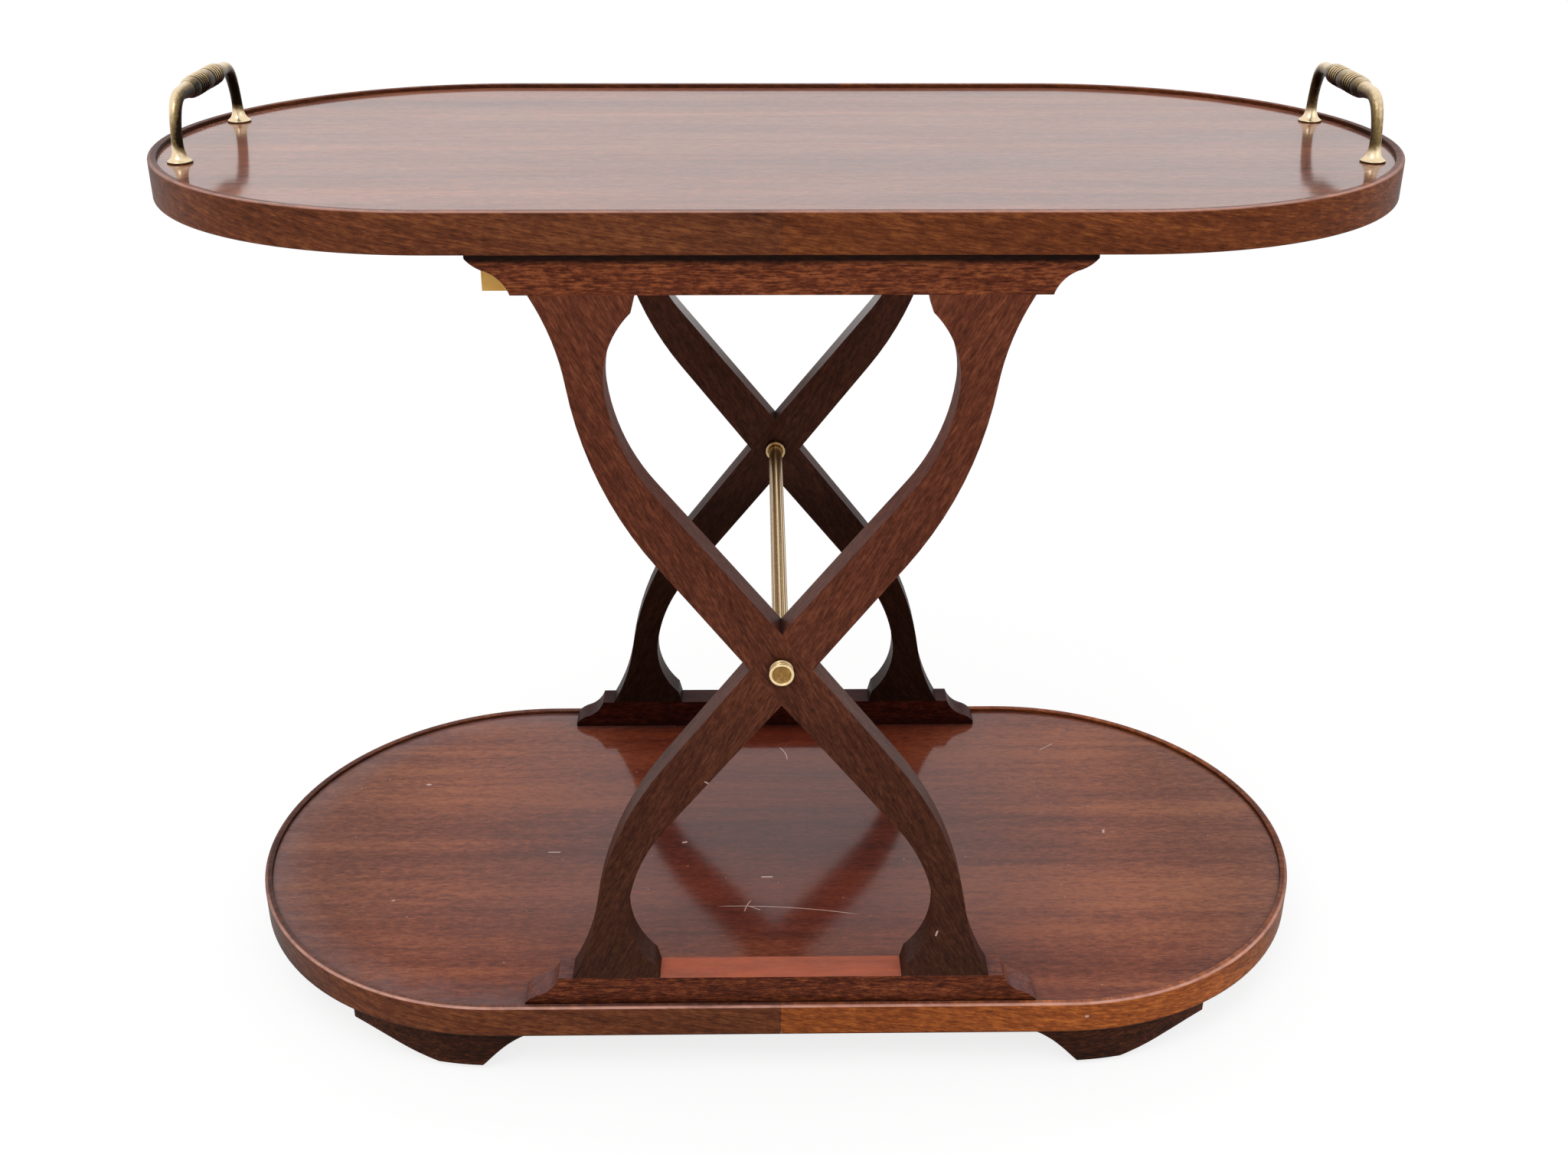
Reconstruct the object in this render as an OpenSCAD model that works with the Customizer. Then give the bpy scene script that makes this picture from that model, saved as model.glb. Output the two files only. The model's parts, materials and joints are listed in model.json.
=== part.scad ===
// Two-tier serving trolley with X-shaped frames, brass handles and concealed castors.
// X runs along the tiers, Y from front to back, Z up from the floor. Sizes are millimetres.

/* [Tiers] */
// Overall length of both tiers
tier_l = 900; // [700:5:1100]
// Overall width of both tiers
tier_w = 458; // [400:2:560]
// Clear height between the lower board and the top board
tier_gap = 594; // [520:2:680]
// Height of the lipping round each board
rim_h = 27.5; // [22:0.5:34]
// Thickness of the lipping
rim_t = 6; // [4:0.5:9]
// How far the lipping stands above its board
lip_h = 3; // [1.5:0.5:6]
// Rounding of the lipping's outer edges
rim_edge_r = 1.4; // [0.6:0.1:1.9]
// How far the back seam of the top lipping lies from the middle
top_back_seam = 55; // [0:5:100]

/* [Rails] */
// Length of each rail
rail_l = 397; // [360:1:440]
// Height of each rail
rail_h = 27; // [24:0.5:34]
// Thickness of rails and legs
frame_t = 24.5; // [20:0.5:30]
// Gap between the rails and the lipping
rail_gap = 0.4; // [0.2:0.1:2]
// Length of the ogee at each end of a rail
ogee_l = 27; // [25:1:32]
// Thickness of the blunt tip that the ogee leaves
ogee_tip = 3.5; // [2:0.5:5]
// How far in from the tip the ogee changes from round to hollow
ogee_turn_l = 12; // [10:0.5:14]
// How far above the blunt tip the ogee changes from round to hollow
ogee_turn_h = 8; // [6:0.5:10]
// Radius of the round and of the hollow
ogee_r = 24.5; // [20:0.5:40]

/* [Legs] */
// Width of a leg where it crosses the other
leg_w = 35; // [30:0.5:38]
// Slope of the legs at the crossing, in degrees
leg_rake = 52; // [50:0.5:54]
// How much flatter the inner edge slopes, in degrees
leg_taper = 1.1; // [0:0.1:2]
// Height above the crossing where the outer edge starts to bend
bend_out = 80; // [74:1:88]
// Height above the crossing where the inner edge starts to bend
bend_in = 133; // [126:1:140]
// Distance of the neck from the middle of the frame
neck_x = 127.5; // [124:0.5:132]
// Width of the neck
neck_w = 24.8; // [21:0.2:27]
// Distance from the rail to the neck, at the outer edge
neck_drop_out = 60; // [56:1:66]
// Distance from the rail to the neck, at the inner edge
neck_drop_in = 65; // [61:1:69]
// Distance from the middle to the corner under the hollow inside the neck
shoulder_x = 96; // [94:0.5:99]
// Distance from the rail to that corner
shoulder_h = 11.5; // [9:0.5:15]
// Distance from the middle to the inner corner of a leg's foot
heel_in = 93; // [90:0.5:95]
// Distance from the middle to the outer corner of a leg's foot
heel_out = 160.5; // [156:0.5:165]

/* [Brass rod and knobs] */
// Diameter of the rod between the crossings
rod_d = 12; // [9:0.5:14]
// Diameter of the spigots at the rod's ends
spigot_d = 8; // [5:0.5:9]
// Length of the spigots
spigot_l = 5; // [4:0.5:6]
// Diameter of the knobs and collars
knob_d = 17.7; // [15:0.1:20]
// How far a knob stands out from the leg
knob_l = 7.5; // [7:0.25:10]
// Width of the groove round a knob
knob_groove = 1.2; // [0.8:0.1:2]
// Length of a collar
collar_l = 6; // [4:0.5:10]

/* [Handles] */
// Distance from the end of the tier to the middle of a handle
handle_inset = 35; // [31:1:50]
// Distance between the feet of one handle
handle_span = 148; // [140:1:156]
// Height of the grip's axis above the board
grip_z = 43; // [40:0.5:50]
// Diameter of a handle's arms
arm_d = 7.4; // [6.6:0.1:8.6]
// Diameter of the flange under each arm
flange_d = 17.5; // [16:0.5:20]
// Thickness of the flange
flange_h = 1.6; // [1:0.2:3]
// Height of the bell foot, with its flange
bell_h = 10.5; // [9:0.5:13]
// How much thicker an arm is above its lower bend
arm_swell = 0.8; // [0.2:0.1:1.2]
// Diameter of an arm where it meets the grip
arm_end_d = 11.6; // [10:0.2:12.6]
// How far an arm leans before its upper bend, in degrees
arm_lean = 28; // [20:1:35]
// Radius of an arm's upper bend
bend_r = 18; // [14:0.5:22]
// Length of the grip
grip_l = 74; // [70:1:82]
// Greatest diameter of the grip
grip_d = 15; // [14:0.2:16.4]
// Rings in each group on the grip
ring_count = 4; // [3:1:5]
// Spacing of the rings
ring_pitch = 4.4; // [3.6:0.1:4.8]
// Length of the plain bead at each end of the grip
bead_l = 12; // [10:0.5:13]

/* [Cleats under the top] */
// Width of each cleat
cleat_w = 22; // [18:1:26]
// Height of each cleat
cleat_h = 31; // [24:0.5:34]
// Distance of the left cleat from the middle
left_cleat_x = 181.5; // [176:0.5:190]
// Distance of the right cleat from the middle
right_cleat_x = 158; // [150:1:160]

/* [Bracket feet] */
// Height of the bracket feet
foot_h = 33; // [31:0.5:40]
// Clearance of the bracket feet above the floor
foot_clear = 4; // [3:0.5:8]
// How far the feet lie inside the lipping
foot_inset = 4; // [2:0.5:8]
// Thickness of the bracket feet
foot_t = 20; // [16:0.5:22]
// Length of each foot along the straight side
foot_run = 25; // [18:1:36]
// Sideways reach of the hollow at the inner end of a foot
foot_cove = 38; // [32:1:44]
// Radius of that hollow
foot_cove_r = 90; // [60:5:140]
// Angle round the rounded end that a foot covers, in degrees
foot_turn = 41; // [38:1:46]
// Length of the rising lower edge at the outer end
foot_rise_l = 97; // [85:1:105]
// Height gained by the rising lower edge
foot_rise_h = 16; // [10:0.5:20]
// Radius of the rising lower edge
foot_rise_r = 480; // [300:10:800]

/* [Castors] */
// Diameter of a castor's wheel
wheel_d = 26; // [22:0.5:27]
// Width of the wheel
wheel_w = 12; // [9:0.5:14]
// How far the axle trails behind the swivel
trail = 9; // [7:0.5:11]
// Side of the square plate
plate_w = 34; // [32:1:38]
// Thickness of the plate
plate_t = 2; // [1.5:0.25:2.5]
// Diameter of the kingpin
kingpin_d = 5; // [4:0.5:6]
// Diameter of the axle
axle_d = 4; // [3:0.5:5]
// Thickness of the fork's sheet
fork_t = 1.6; // [1.2:0.1:2]
// Spacing of the screws in a plate
plate_pitch = 25; // [23:0.5:27]
// Running gap between the fork and what it turns under
swivel_gap = 0.3; // [0.2:0.05:0.5]
// Gap between the wheel and each cheek of the fork
wheel_gap = 0.5; // [0.3:0.1:0.8]

/* [Fixings] */
// Diameter of the dowels
dowel_d = 8; // [6:0.5:10]
// Length of the dowels
dowel_l = 36; // [30:1:40]
// Distance between the two dowels of one leg's foot
dowel_pitch = 26; // [20:1:28]
// Shank diameter of the wood screws
screw_d = 4; // [3.5:0.5:5]
// Head diameter of the wood screws
screw_head_d = 8; // [7:0.5:9]
// How deep a wood screw bites into the piece it holds
screw_bite = 16; // [12:1:18]
// Distance between neighbouring screws in a rail
rail_screw_pitch = 66; // [50:1:70]
// Distance between neighbouring screws in a cleat
cleat_screw_pitch = 130; // [100:5:160]
// Shank diameter of the castor screws
small_screw_d = 3; // [2.5:0.5:3.5]
// Length of the castor screws
small_screw_l = 14; // [10:1:18]
// Diameter of the machine screws that hold the handles
bolt_d = 4; // [3:0.5:5]
// How deep a handle's screw reaches into its foot
bolt_bite = 9; // [7:0.5:10]
// Diameter of the machine screws' heads
bolt_head_d = 8; // [7:0.5:9]
// Height of the machine screws' heads
bolt_head_h = 2.6; // [2:0.2:3.4]

/* [Fits] */
// Gap in glued joints and round fixings
glue_gap = 0.05; // [0.03:0.01:0.1]
// Radial clearance of turning pins
pin_gap = 0.05; // [0.02:0.01:0.1]

/* [Hidden] */
fine = 180;
curve_step = 3;
front = -1;
back = 1;
left = -1;
right = 1;

// Heights
board_t = rim_h - lip_h;
lower_base = foot_clear + foot_h;
lower_top = lower_base + board_t;
top_base = lower_top + tier_gap;
top_top = top_base + board_t;
axis_z = lower_top + tier_gap / 2;
leg_reach = tier_gap / 2 - rail_h;

// Plan
arc_x = (tier_l - tier_w) / 2;
rail_out = tier_w / 2 - rim_t - rail_gap;
rail_in = rail_out - frame_t;
rail_mid = rail_out - frame_t / 2;
handle_x = tier_l / 2 - handle_inset;

// Leg outline: the half leg from the crossing up to the right
strip_x = leg_w / 2 / sin(leg_rake);
strip_z = leg_w / 2 / cos(leg_rake);
out_start = [strip_x + bend_out / tan(leg_rake), bend_out];
in_rake = leg_rake - leg_taper;
in_start = [(bend_in - strip_z) / tan(in_rake), bend_in];
neck_out = [neck_x + neck_w / 2, leg_reach - neck_drop_out];
neck_in = [neck_x - neck_w / 2, leg_reach - neck_drop_in];
heel_out_pt = [heel_out, leg_reach];
heel_in_pt = [heel_in, leg_reach];
neck_out_slope = end_slope(out_start, neck_out, leg_rake);
neck_in_slope = end_slope(in_start, neck_in, in_rake);
shoulder_pt = [shoulder_x, leg_reach - shoulder_h];
half_leg = concat(
    [[0, -strip_z], out_start],
    arc_points(out_start, neck_out, arc_radius(out_start, neck_out, leg_rake)),
    [neck_out],
    arc_points(neck_out, heel_out_pt, -arc_radius(neck_out, heel_out_pt, neck_out_slope)),
    [heel_out_pt, heel_in_pt, shoulder_pt],
    arc_points(shoulder_pt, neck_in, -arc_radius(neck_in, shoulder_pt, neck_in_slope)),
    [neck_in],
    arc_points(neck_in, in_start, -arc_radius(in_start, neck_in, in_rake)),
    [in_start]
);
dowel_x = (heel_in + heel_out) / 2;

// Rail outline: the half from the middle of the rail to its right end
ogee_low = [rail_l / 2, ogee_tip];
ogee_mid = [rail_l / 2 - ogee_turn_l, ogee_tip + ogee_turn_h];
ogee_high = [rail_l / 2 - ogee_l, rail_h];
half_rail = concat(
    [[rail_l / 2, 0], ogee_low],
    arc_points(ogee_low, ogee_mid, ogee_r),
    [ogee_mid],
    arc_points(ogee_mid, ogee_high, -ogee_r),
    [ogee_high]
);

// Handles
arm_z = bell_h - 1;
low_bend_r = (grip_z - arm_z - bend_r * (1 - sin(arm_lean))) / sin(arm_lean);
low_bend_y = low_bend_r * (1 - cos(arm_lean));
high_bend_y = bend_r * cos(arm_lean);
arm_reach = low_bend_y + high_bend_y;
arm_end = (handle_span - grip_l) / 2;
arm_top_d = arm_d + arm_swell;
tenon_d = arm_d - 2.4;
tenon_l = 8;

// Bracket feet and castors
foot_r = tier_w / 2 - foot_inset;
castor_h = lower_base;
swing_r = norm([trail + wheel_d / 2, wheel_w / 2]);
castor_r = foot_r - foot_t - swing_r - 3;
castor_turn = 15;
castor_x = arc_x + castor_r * sin(castor_turn);
castor_y = castor_r * cos(castor_turn);
fork_top = castor_h - plate_t - 3.5;
cheek_in = wheel_w / 2 + wheel_gap;
cheek_r = 5;
rivet_d = axle_d + 3;
rivet_h = 1.2;

// Slope at the far end of an arc that leaves p0 with slope a and ends at p1
function end_slope(p0, p1, a) = 2 * atan2(p1[1] - p0[1], p1[0] - p0[0]) - a;
// Radius of an arc that leaves p0 with slope a and ends at p1
function arc_radius(p0, p1, a) = norm(p1 - p0) / 2 / abs(sin(atan2(p1[1] - p0[1], p1[0] - p0[0]) - a));
// Centre of the arc from p0 to p1, which bulges to the right of that way, or to the left if r is negative
function arc_centre(p0, p1, r) =
    let (d = p1 - p0, n = [d[1], -d[0]] / norm(d))
    (p0 + p1) / 2 - sign(r) * n * sqrt(r * r - d * d / 4);
// Points of that arc between its ends
function arc_points(p0, p1, r) =
    let (
        c = arc_centre(p0, p1, r),
        start = atan2(p0[1] - c[1], p0[0] - c[0]),
        turn = 2 * asin(norm(p1 - p0) / 2 / r),
        steps = ceil(abs(turn) / curve_step)
    )
    [for (i = [1:steps - 1]) c + abs(r) * [cos(start + turn * i / steps), sin(start + turn * i / steps)]];
// An outline's points turned half a turn round the origin
function turned(points) = [for (p = points) -p];
// An outline's points mirrored to the other side and put in reverse order
function mirrored(points) = [for (i = [len(points) - 1:-1:0]) [-points[i][0], points[i][1]]];

// Straight-sided oval with half-round ends
module oval(length, width) {
    for (side = [left, right])
        translate([side * (length - width) / 2, 0])
            circle(d = width, $fn = fine);
    square([length - width, width], center = true);
}

// Copies of a front right piece, or one of its mirror images
module corner(x_side, y_side) {
    mirror([x_side == left ? 1 : 0, 0, 0])
        mirror([0, y_side == back ? 1 : 0, 0])
            children();
}

// Countersunk screw standing point up with its head's face at z = 0
module wood_screw(d, head_d, length, gap = 0) {
    cone_h = (head_d - d) / 2;
    point_h = gap > 0 ? 0 : d;
    rotate_extrude($fn = fine)
        polygon([
            [0, 0], [head_d / 2 + gap, 0], [d / 2 + gap, cone_h],
            [d / 2 + gap, length - point_h + 2 * gap], [gap > 0 ? d / 2 + gap : 0, length + 2 * gap],
            [0, length + 2 * gap]
        ]);
}

// Straight hole along Z, open past its mouth
module hole(d, depth) {
    cylinder(d = d, h = depth, $fn = fine);
}

// Section of the lipping, with x running outwards
module rim_section() {
    translate([tier_w / 2 - rim_t, 0])
        difference() {
            square([rim_t, rim_h]);
            rounded_corner(rim_t, rim_h, rim_edge_r, 1, 1);
            rounded_corner(rim_t, 0, rim_edge_r, 1, -1);
            rounded_corner(0, rim_h, rim_edge_r / 2, -1, 1);
        }
}

module rounded_corner(x, y, r, sx, sy) {
    translate([x - sx * r, y - sy * r])
        difference() {
            translate([sx > 0 ? 0 : -r - 1, sy > 0 ? 0 : -r - 1]) square(r + 1);
            circle(r = r, $fn = fine);
        }
}

module rim_straight(length) {
    rotate([90, 0, 90]) linear_extrude(length) rim_section();
}

// Right half of a lipping, between its front and back seams
module rim_half(front_seam, back_seam) {
    translate([arc_x, 0, 0]) rotate([0, 0, -90]) rotate_extrude(angle = 180, $fn = fine) rim_section();
    translate([back_seam + glue_gap, 0, 0]) rim_straight(arc_x - back_seam - glue_gap);
    mirror([0, 1, 0])
        translate([front_seam + glue_gap, 0, 0]) rim_straight(arc_x - front_seam - glue_gap);
}

// Board without holes, its underside at z = 0
module board() {
    inside = 2 * (rim_t + glue_gap);
    linear_extrude(board_t) oval(tier_l - inside, tier_w - inside);
}

module rail_screw_places() {
    for (y_side = [front, back], i = [-1:1])
        translate([i * rail_screw_pitch, y_side * rail_mid, 0])
            children();
}

module cleat_screw_places() {
    for (x = [-left_cleat_x, right_cleat_x], i = [-1:1])
        translate([x, i * cleat_screw_pitch, 0])
            children();
}

module foot_screw_places() {
    mid_r = foot_r - foot_t / 2;
    for (x_side = [left, right], y_side = [front, back], turn = [5, 11])
        corner(x_side, y_side)
            translate([arc_x, 0, 0])
                rotate([0, 0, turn - 90])
                    translate([mid_r, 0, 0])
                        children();
}

module castor_screw_places() {
    for (x_side = [left, right], y_side = [front, back], i = [-1, 1], j = [-1, 1])
        translate([x_side * castor_x + i * plate_pitch / 2, y_side * castor_y + j * plate_pitch / 2, 0])
            children();
}

module handle_foot_places() {
    for (x_side = [left, right], y_side = [front, back])
        translate([x_side * handle_x, y_side * handle_span / 2, 0])
            children();
}

module top_board() {
    color("#7d4436")
        difference() {
            translate([0, 0, top_base]) board();
            translate([0, 0, top_base - rail_h]) rail_screw_places() wood_screw_hole(rail_h + screw_bite);
            translate([0, 0, top_base - cleat_h]) cleat_screw_places() wood_screw_hole(cleat_h + screw_bite);
            translate([0, 0, top_base - 1])
                handle_foot_places() {
                    hole(bolt_d + 2 * glue_gap, board_t + 2);
                    hole(bolt_head_d + 1, bolt_head_h + 2);
                }
        }
}

module wood_screw_hole(length) {
    wood_screw(screw_d, screw_head_d, length, glue_gap);
}

module top_rim(x_side) {
    color("#6b3a26")
        translate([0, 0, top_base])
            corner(x_side, front)
                rim_half(0, x_side * top_back_seam);
}

module lower_board() {
    color("#7d4436")
        difference() {
            translate([0, 0, lower_base]) board();
            translate([0, 0, lower_base]) rail_screw_places() wood_screw_hole(board_t + screw_bite);
            translate([0, 0, foot_clear]) foot_screw_places() wood_screw_hole(foot_h + screw_bite);
            translate([0, 0, lower_base - plate_t])
                castor_screw_places() wood_screw(small_screw_d, 2 * small_screw_d, small_screw_l, glue_gap);
        }
}

module lower_rim(x_side) {
    color("#6b3a26")
        translate([0, 0, lower_base])
            corner(x_side, front)
                rim_half(0, 0);
}

// Face of a rail that lies on y = 0, with ogee ends
module rail_face() {
    polygon(concat(half_rail, mirrored(half_rail)));
}

module dowel_places() {
    for (s = [left, right], i = [-1, 1])
        translate([s * dowel_x + i * dowel_pitch / 2, 0, 0])
            children();
}

// Stands a face drawn in x and y upright, inner side at rail_in, outer side at rail_out
module frame_plate(y_side) {
    corner(right, y_side)
        translate([0, -rail_in, 0]) rotate([90, 0, 0]) linear_extrude(frame_t) children();
}

module lower_rail(y_side) {
    color("#5a2c1e")
        translate([0, 0, lower_top])
            difference() {
                frame_plate(y_side) rail_face();
                translate([0, y_side * rail_mid, rail_h - dowel_l / 2 - 0.5])
                    dowel_places() hole(dowel_d + 2 * glue_gap, dowel_l);
                translate([0, 0, -board_t]) rail_screw_places() wood_screw_hole(board_t + screw_bite);
            }
}

module upper_rail(y_side) {
    color("#5a2c1e")
        translate([0, 0, top_base])
            difference() {
                frame_plate(y_side) mirror([0, 1]) rail_face();
                translate([0, y_side * rail_mid, -rail_h - dowel_l / 2 + 0.5])
                    dowel_places() hole(dowel_d + 2 * glue_gap, dowel_l);
                translate([0, 0, -rail_h]) rail_screw_places() wood_screw_hole(rail_h + screw_bite);
            }
}

// Face of the leg that runs up to the right
module leg_face() {
    polygon(concat(half_leg, turned(half_leg)));
}

// Diamond where the two legs of a frame cross, a little larger than the other leg
module lap_face() {
    grow = 1 + 2 * glue_gap / leg_w;
    polygon(grow * [[strip_x, 0], [0, strip_z], [-strip_x, 0], [0, -strip_z]]);
}

// Leg whose upper end lies on x_side; the left one keeps its outer half at the crossing
module leg(x_side, y_side) {
    lap_from = x_side == left ? rail_in - 1 : rail_mid - glue_gap;
    lap_to = x_side == left ? rail_mid + glue_gap : rail_out + 1;
    color("#64321f")
        translate([0, 0, axis_z])
            difference() {
                frame_plate(y_side) mirror([x_side == left ? 1 : 0, 0]) leg_face();
                corner(right, y_side)
                    translate([0, -lap_from, 0])
                        rotate([90, 0, 0]) linear_extrude(lap_to - lap_from) lap_face();
                rod_hole();
                for (end = [-1, 1])
                    translate([0, y_side * rail_mid, end * leg_reach - dowel_l / 2 - 0.5])
                        dowel_places() hole(dowel_d + 2 * glue_gap, dowel_l + 1);
            }
}

module rod_hole() {
    translate([0, -rail_out - 1, 0])
        rotate([-90, 0, 0])
            hole(rod_d + 2 * glue_gap, 2 * rail_out + 2);
}

module stretcher_rod() {
    color("#a5823c")
        translate([0, 0, axis_z])
            rotate([90, 0, 0]) {
                cylinder(d = rod_d, h = 2 * rail_out, center = true, $fn = fine);
                cylinder(d = spigot_d, h = 2 * (rail_out + spigot_l), center = true, $fn = fine);
            }
}

module rod_collars() {
    color("#8f7440")
        for (y_side = [front, back])
            translate([0, y_side * (rail_in - collar_l / 2), axis_z])
                rotate([90, 0, 0])
                    difference() {
                        cylinder(d = knob_d, h = collar_l, center = true, $fn = fine);
                        cylinder(d = rod_d + 2 * glue_gap, h = collar_l + 2, center = true, $fn = fine);
                    }
}

// Turned cap on a rod's end: grooved rim, rounded edge and a dished face
module knob(y_side) {
    groove_y = 2;
    edge = 1;
    dish_d = 10;
    dish_h = 0.8;
    color("#b08a3e")
        translate([0, y_side * rail_out, axis_z])
            rotate([-90 * y_side, 0, 0])
                rotate_extrude($fn = fine)
                    difference() {
                        square([knob_d / 2, knob_l]);
                        rounded_corner(knob_d / 2, knob_l, edge, 1, 1);
                        translate([knob_d / 2 - 1, groove_y]) square([2, knob_groove]);
                        translate([0, knob_l - dish_h]) square([dish_d / 2, 1]);
                        translate([0, -1]) square([spigot_d / 2 + glue_gap, spigot_l + 1.2]);
                    }
}

module cleat(x) {
    color("#d8a95c")
        translate([0, 0, top_base - cleat_h])
            difference() {
                translate([x - cleat_w / 2, -rail_in, 0]) cube([cleat_w, 2 * rail_in, cleat_h]);
                cleat_screw_places() wood_screw_hole(cleat_h + screw_bite);
            }
}

// Bell foot with its flange, turned about Z
module bell_foot() {
    rise = bell_h - flange_h;
    neck_r = arm_top_d / 2 + 0.2;
    flare = flange_d / 2 - 0.8 - neck_r;
    hollow_r = (rise * rise + flare * flare) / 2 / flare;
    rotate_extrude($fn = fine)
        difference() {
            square([flange_d / 2, bell_h]);
            intersection() {
                translate([neck_r + hollow_r, bell_h]) circle(r = hollow_r, $fn = fine);
                translate([0, flange_h]) square([flange_d, bell_h]);
            }
        }
}

// Round bar bent in the YZ plane, from angle a0 to a1 measured from +Y
module bent_bar(d, r, a0, a1) {
    rotate([90, 0, 90])
        rotate([0, 0, a0])
            rotate_extrude(angle = a1 - a0, $fn = fine)
                translate([r, 0]) circle(d = d, $fn = fine);
}

// One arm of a handle: foot, two bends, and the tenon that enters the grip
module handle_post(x_side, y_side) {
    overlap = 1.5;
    flare_l = arm_end - arm_reach;
    color("#a08040")
        translate([x_side * handle_x, y_side * handle_span / 2, top_top])
            mirror([0, y_side == back ? 1 : 0, 0])
                difference() {
                    union() {
                        bell_foot();
                        translate([0, low_bend_r, arm_z])
                            bent_bar(arm_d, low_bend_r, 180 - arm_lean - overlap, 180);
                        translate([0, arm_reach, grip_z - bend_r])
                            bent_bar(arm_top_d, bend_r, 90, 180 - arm_lean);
                        translate([0, arm_reach, grip_z])
                            rotate([-90, 0, 0]) {
                                cylinder(d1 = arm_top_d + 0.2, d2 = arm_end_d, h = flare_l, $fn = fine);
                                cylinder(d = tenon_d, h = flare_l + tenon_l, $fn = fine);
                            }
                    }
                    translate([0, 0, -1]) hole(bolt_d + 2 * glue_gap, bolt_bite + 1.5);
                }
}

// Turned length with a crowned surface, its middle at the origin
module barrel(length, d, crown) {
    r = (length * length / 4 + crown * crown) / 2 / crown;
    rotate_extrude($fn = fine)
        intersection() {
            translate([d / 2 - r, 0]) circle(r = r, $fn = fine);
            translate([0, -length / 2]) square([d, length]);
        }
}

// Grip with crowned beads at its ends, two groups of rings and a crowned middle
module handle_grip(x_side) {
    core_d = grip_d - 2;
    bead_crown = (grip_d - arm_end_d) / 2;
    belly_l = grip_l - 2 * bead_l - 2 * ring_count * ring_pitch;
    ring_w = ring_pitch * 0.8;
    color("#94783e")
        translate([x_side * handle_x, 0, top_top + grip_z])
            rotate([-90, 0, 0])
                difference() {
                    union() {
                        cylinder(d = core_d, h = grip_l - bead_l, center = true, $fn = fine);
                        barrel(belly_l, grip_d, 0.6);
                        for (end = [-1, 1]) {
                            translate([0, 0, end * (grip_l - bead_l) / 2]) barrel(bead_l, grip_d, bead_crown);
                            for (i = [0:ring_count - 1])
                                translate([0, 0, end * (belly_l / 2 + (i + 0.5) * ring_pitch)])
                                    rotate_extrude($fn = fine)
                                        translate([(grip_d - ring_w) / 2, 0]) circle(d = ring_w, $fn = fine);
                        }
                    }
                    for (end = [-1, 1])
                        translate([0, 0, end * grip_l / 2])
                            cylinder(d = tenon_d + 2 * glue_gap, h = 2 * tenon_l + 1, center = true, $fn = fine);
                }
}

// Bracket foot: a straight run and a bend, hollowed at its inner end and rising at its outer end
module bracket_foot(x_side, y_side) {
    cove_top = [arc_x - foot_run, foot_h];
    cove_low = [cove_top[0] + foot_cove, 0];
    rise_top = [arc_x + foot_r * sin(foot_turn), foot_rise_h];
    rise_low = [rise_top[0] - foot_rise_l, 0];
    color("#4c2818")
        difference() {
            corner(x_side, y_side)
                translate([0, 0, foot_clear])
                    difference() {
                        union() {
                            translate([cove_top[0], -foot_r, 0]) cube([foot_run, foot_t, foot_h]);
                            translate([arc_x, 0, 0])
                                rotate([0, 0, -90])
                                    rotate_extrude(angle = foot_turn, $fn = fine)
                                        translate([foot_r - foot_t, 0]) square([foot_t, foot_h]);
                        }
                        foot_hollow(arc_centre(cove_low, cove_top, foot_cove_r), foot_cove_r);
                        foot_hollow(arc_centre(rise_top, rise_low, foot_rise_r), foot_rise_r);
                    }
            translate([0, 0, foot_clear]) foot_screw_places() wood_screw_hole(foot_h + screw_bite);
        }
}

// Round cutter along Y, its centre given as [x, z]
module foot_hollow(centre, r) {
    translate([centre[0], 0, centre[1]]) rotate([90, 0, 0]) hole(2 * r, tier_w);
}

module leg_dowels() {
    color("#c99a5e")
        for (y_side = [front, back], end = [-1, 1])
            translate([0, y_side * rail_mid, axis_z + end * leg_reach - dowel_l / 2])
                dowel_places() cylinder(d = dowel_d, h = dowel_l, $fn = fine);
}

module top_rail_screws() {
    color("#8c8c88")
        translate([0, 0, top_base - rail_h])
            rail_screw_places() wood_screw(screw_d, screw_head_d, rail_h + screw_bite);
}

module lower_rail_screws() {
    color("#8c8c88")
        translate([0, 0, lower_base])
            rail_screw_places() wood_screw(screw_d, screw_head_d, board_t + screw_bite);
}

module cleat_screws() {
    color("#8c8c88")
        translate([0, 0, top_base - cleat_h])
            cleat_screw_places() wood_screw(screw_d, screw_head_d, cleat_h + screw_bite);
}

module foot_screws() {
    color("#8c8c88")
        translate([0, 0, foot_clear])
            foot_screw_places() wood_screw(screw_d, screw_head_d, foot_h + screw_bite);
}

module handle_screws() {
    color("#8c8c88")
        translate([0, 0, top_base + 1])
            handle_foot_places() {
                cylinder(d = bolt_head_d, h = bolt_head_h, $fn = fine);
                cylinder(d = bolt_d, h = board_t - 1 + bolt_bite, $fn = fine);
            }
}

module castor_screws() {
    color("#8c8c88")
        translate([0, 0, castor_h - plate_t])
            castor_screw_places() wood_screw(small_screw_d, 2 * small_screw_d, small_screw_l);
}

module castor_place(x_side, y_side) {
    translate([x_side * castor_x, y_side * castor_y, 0]) children();
}

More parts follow.
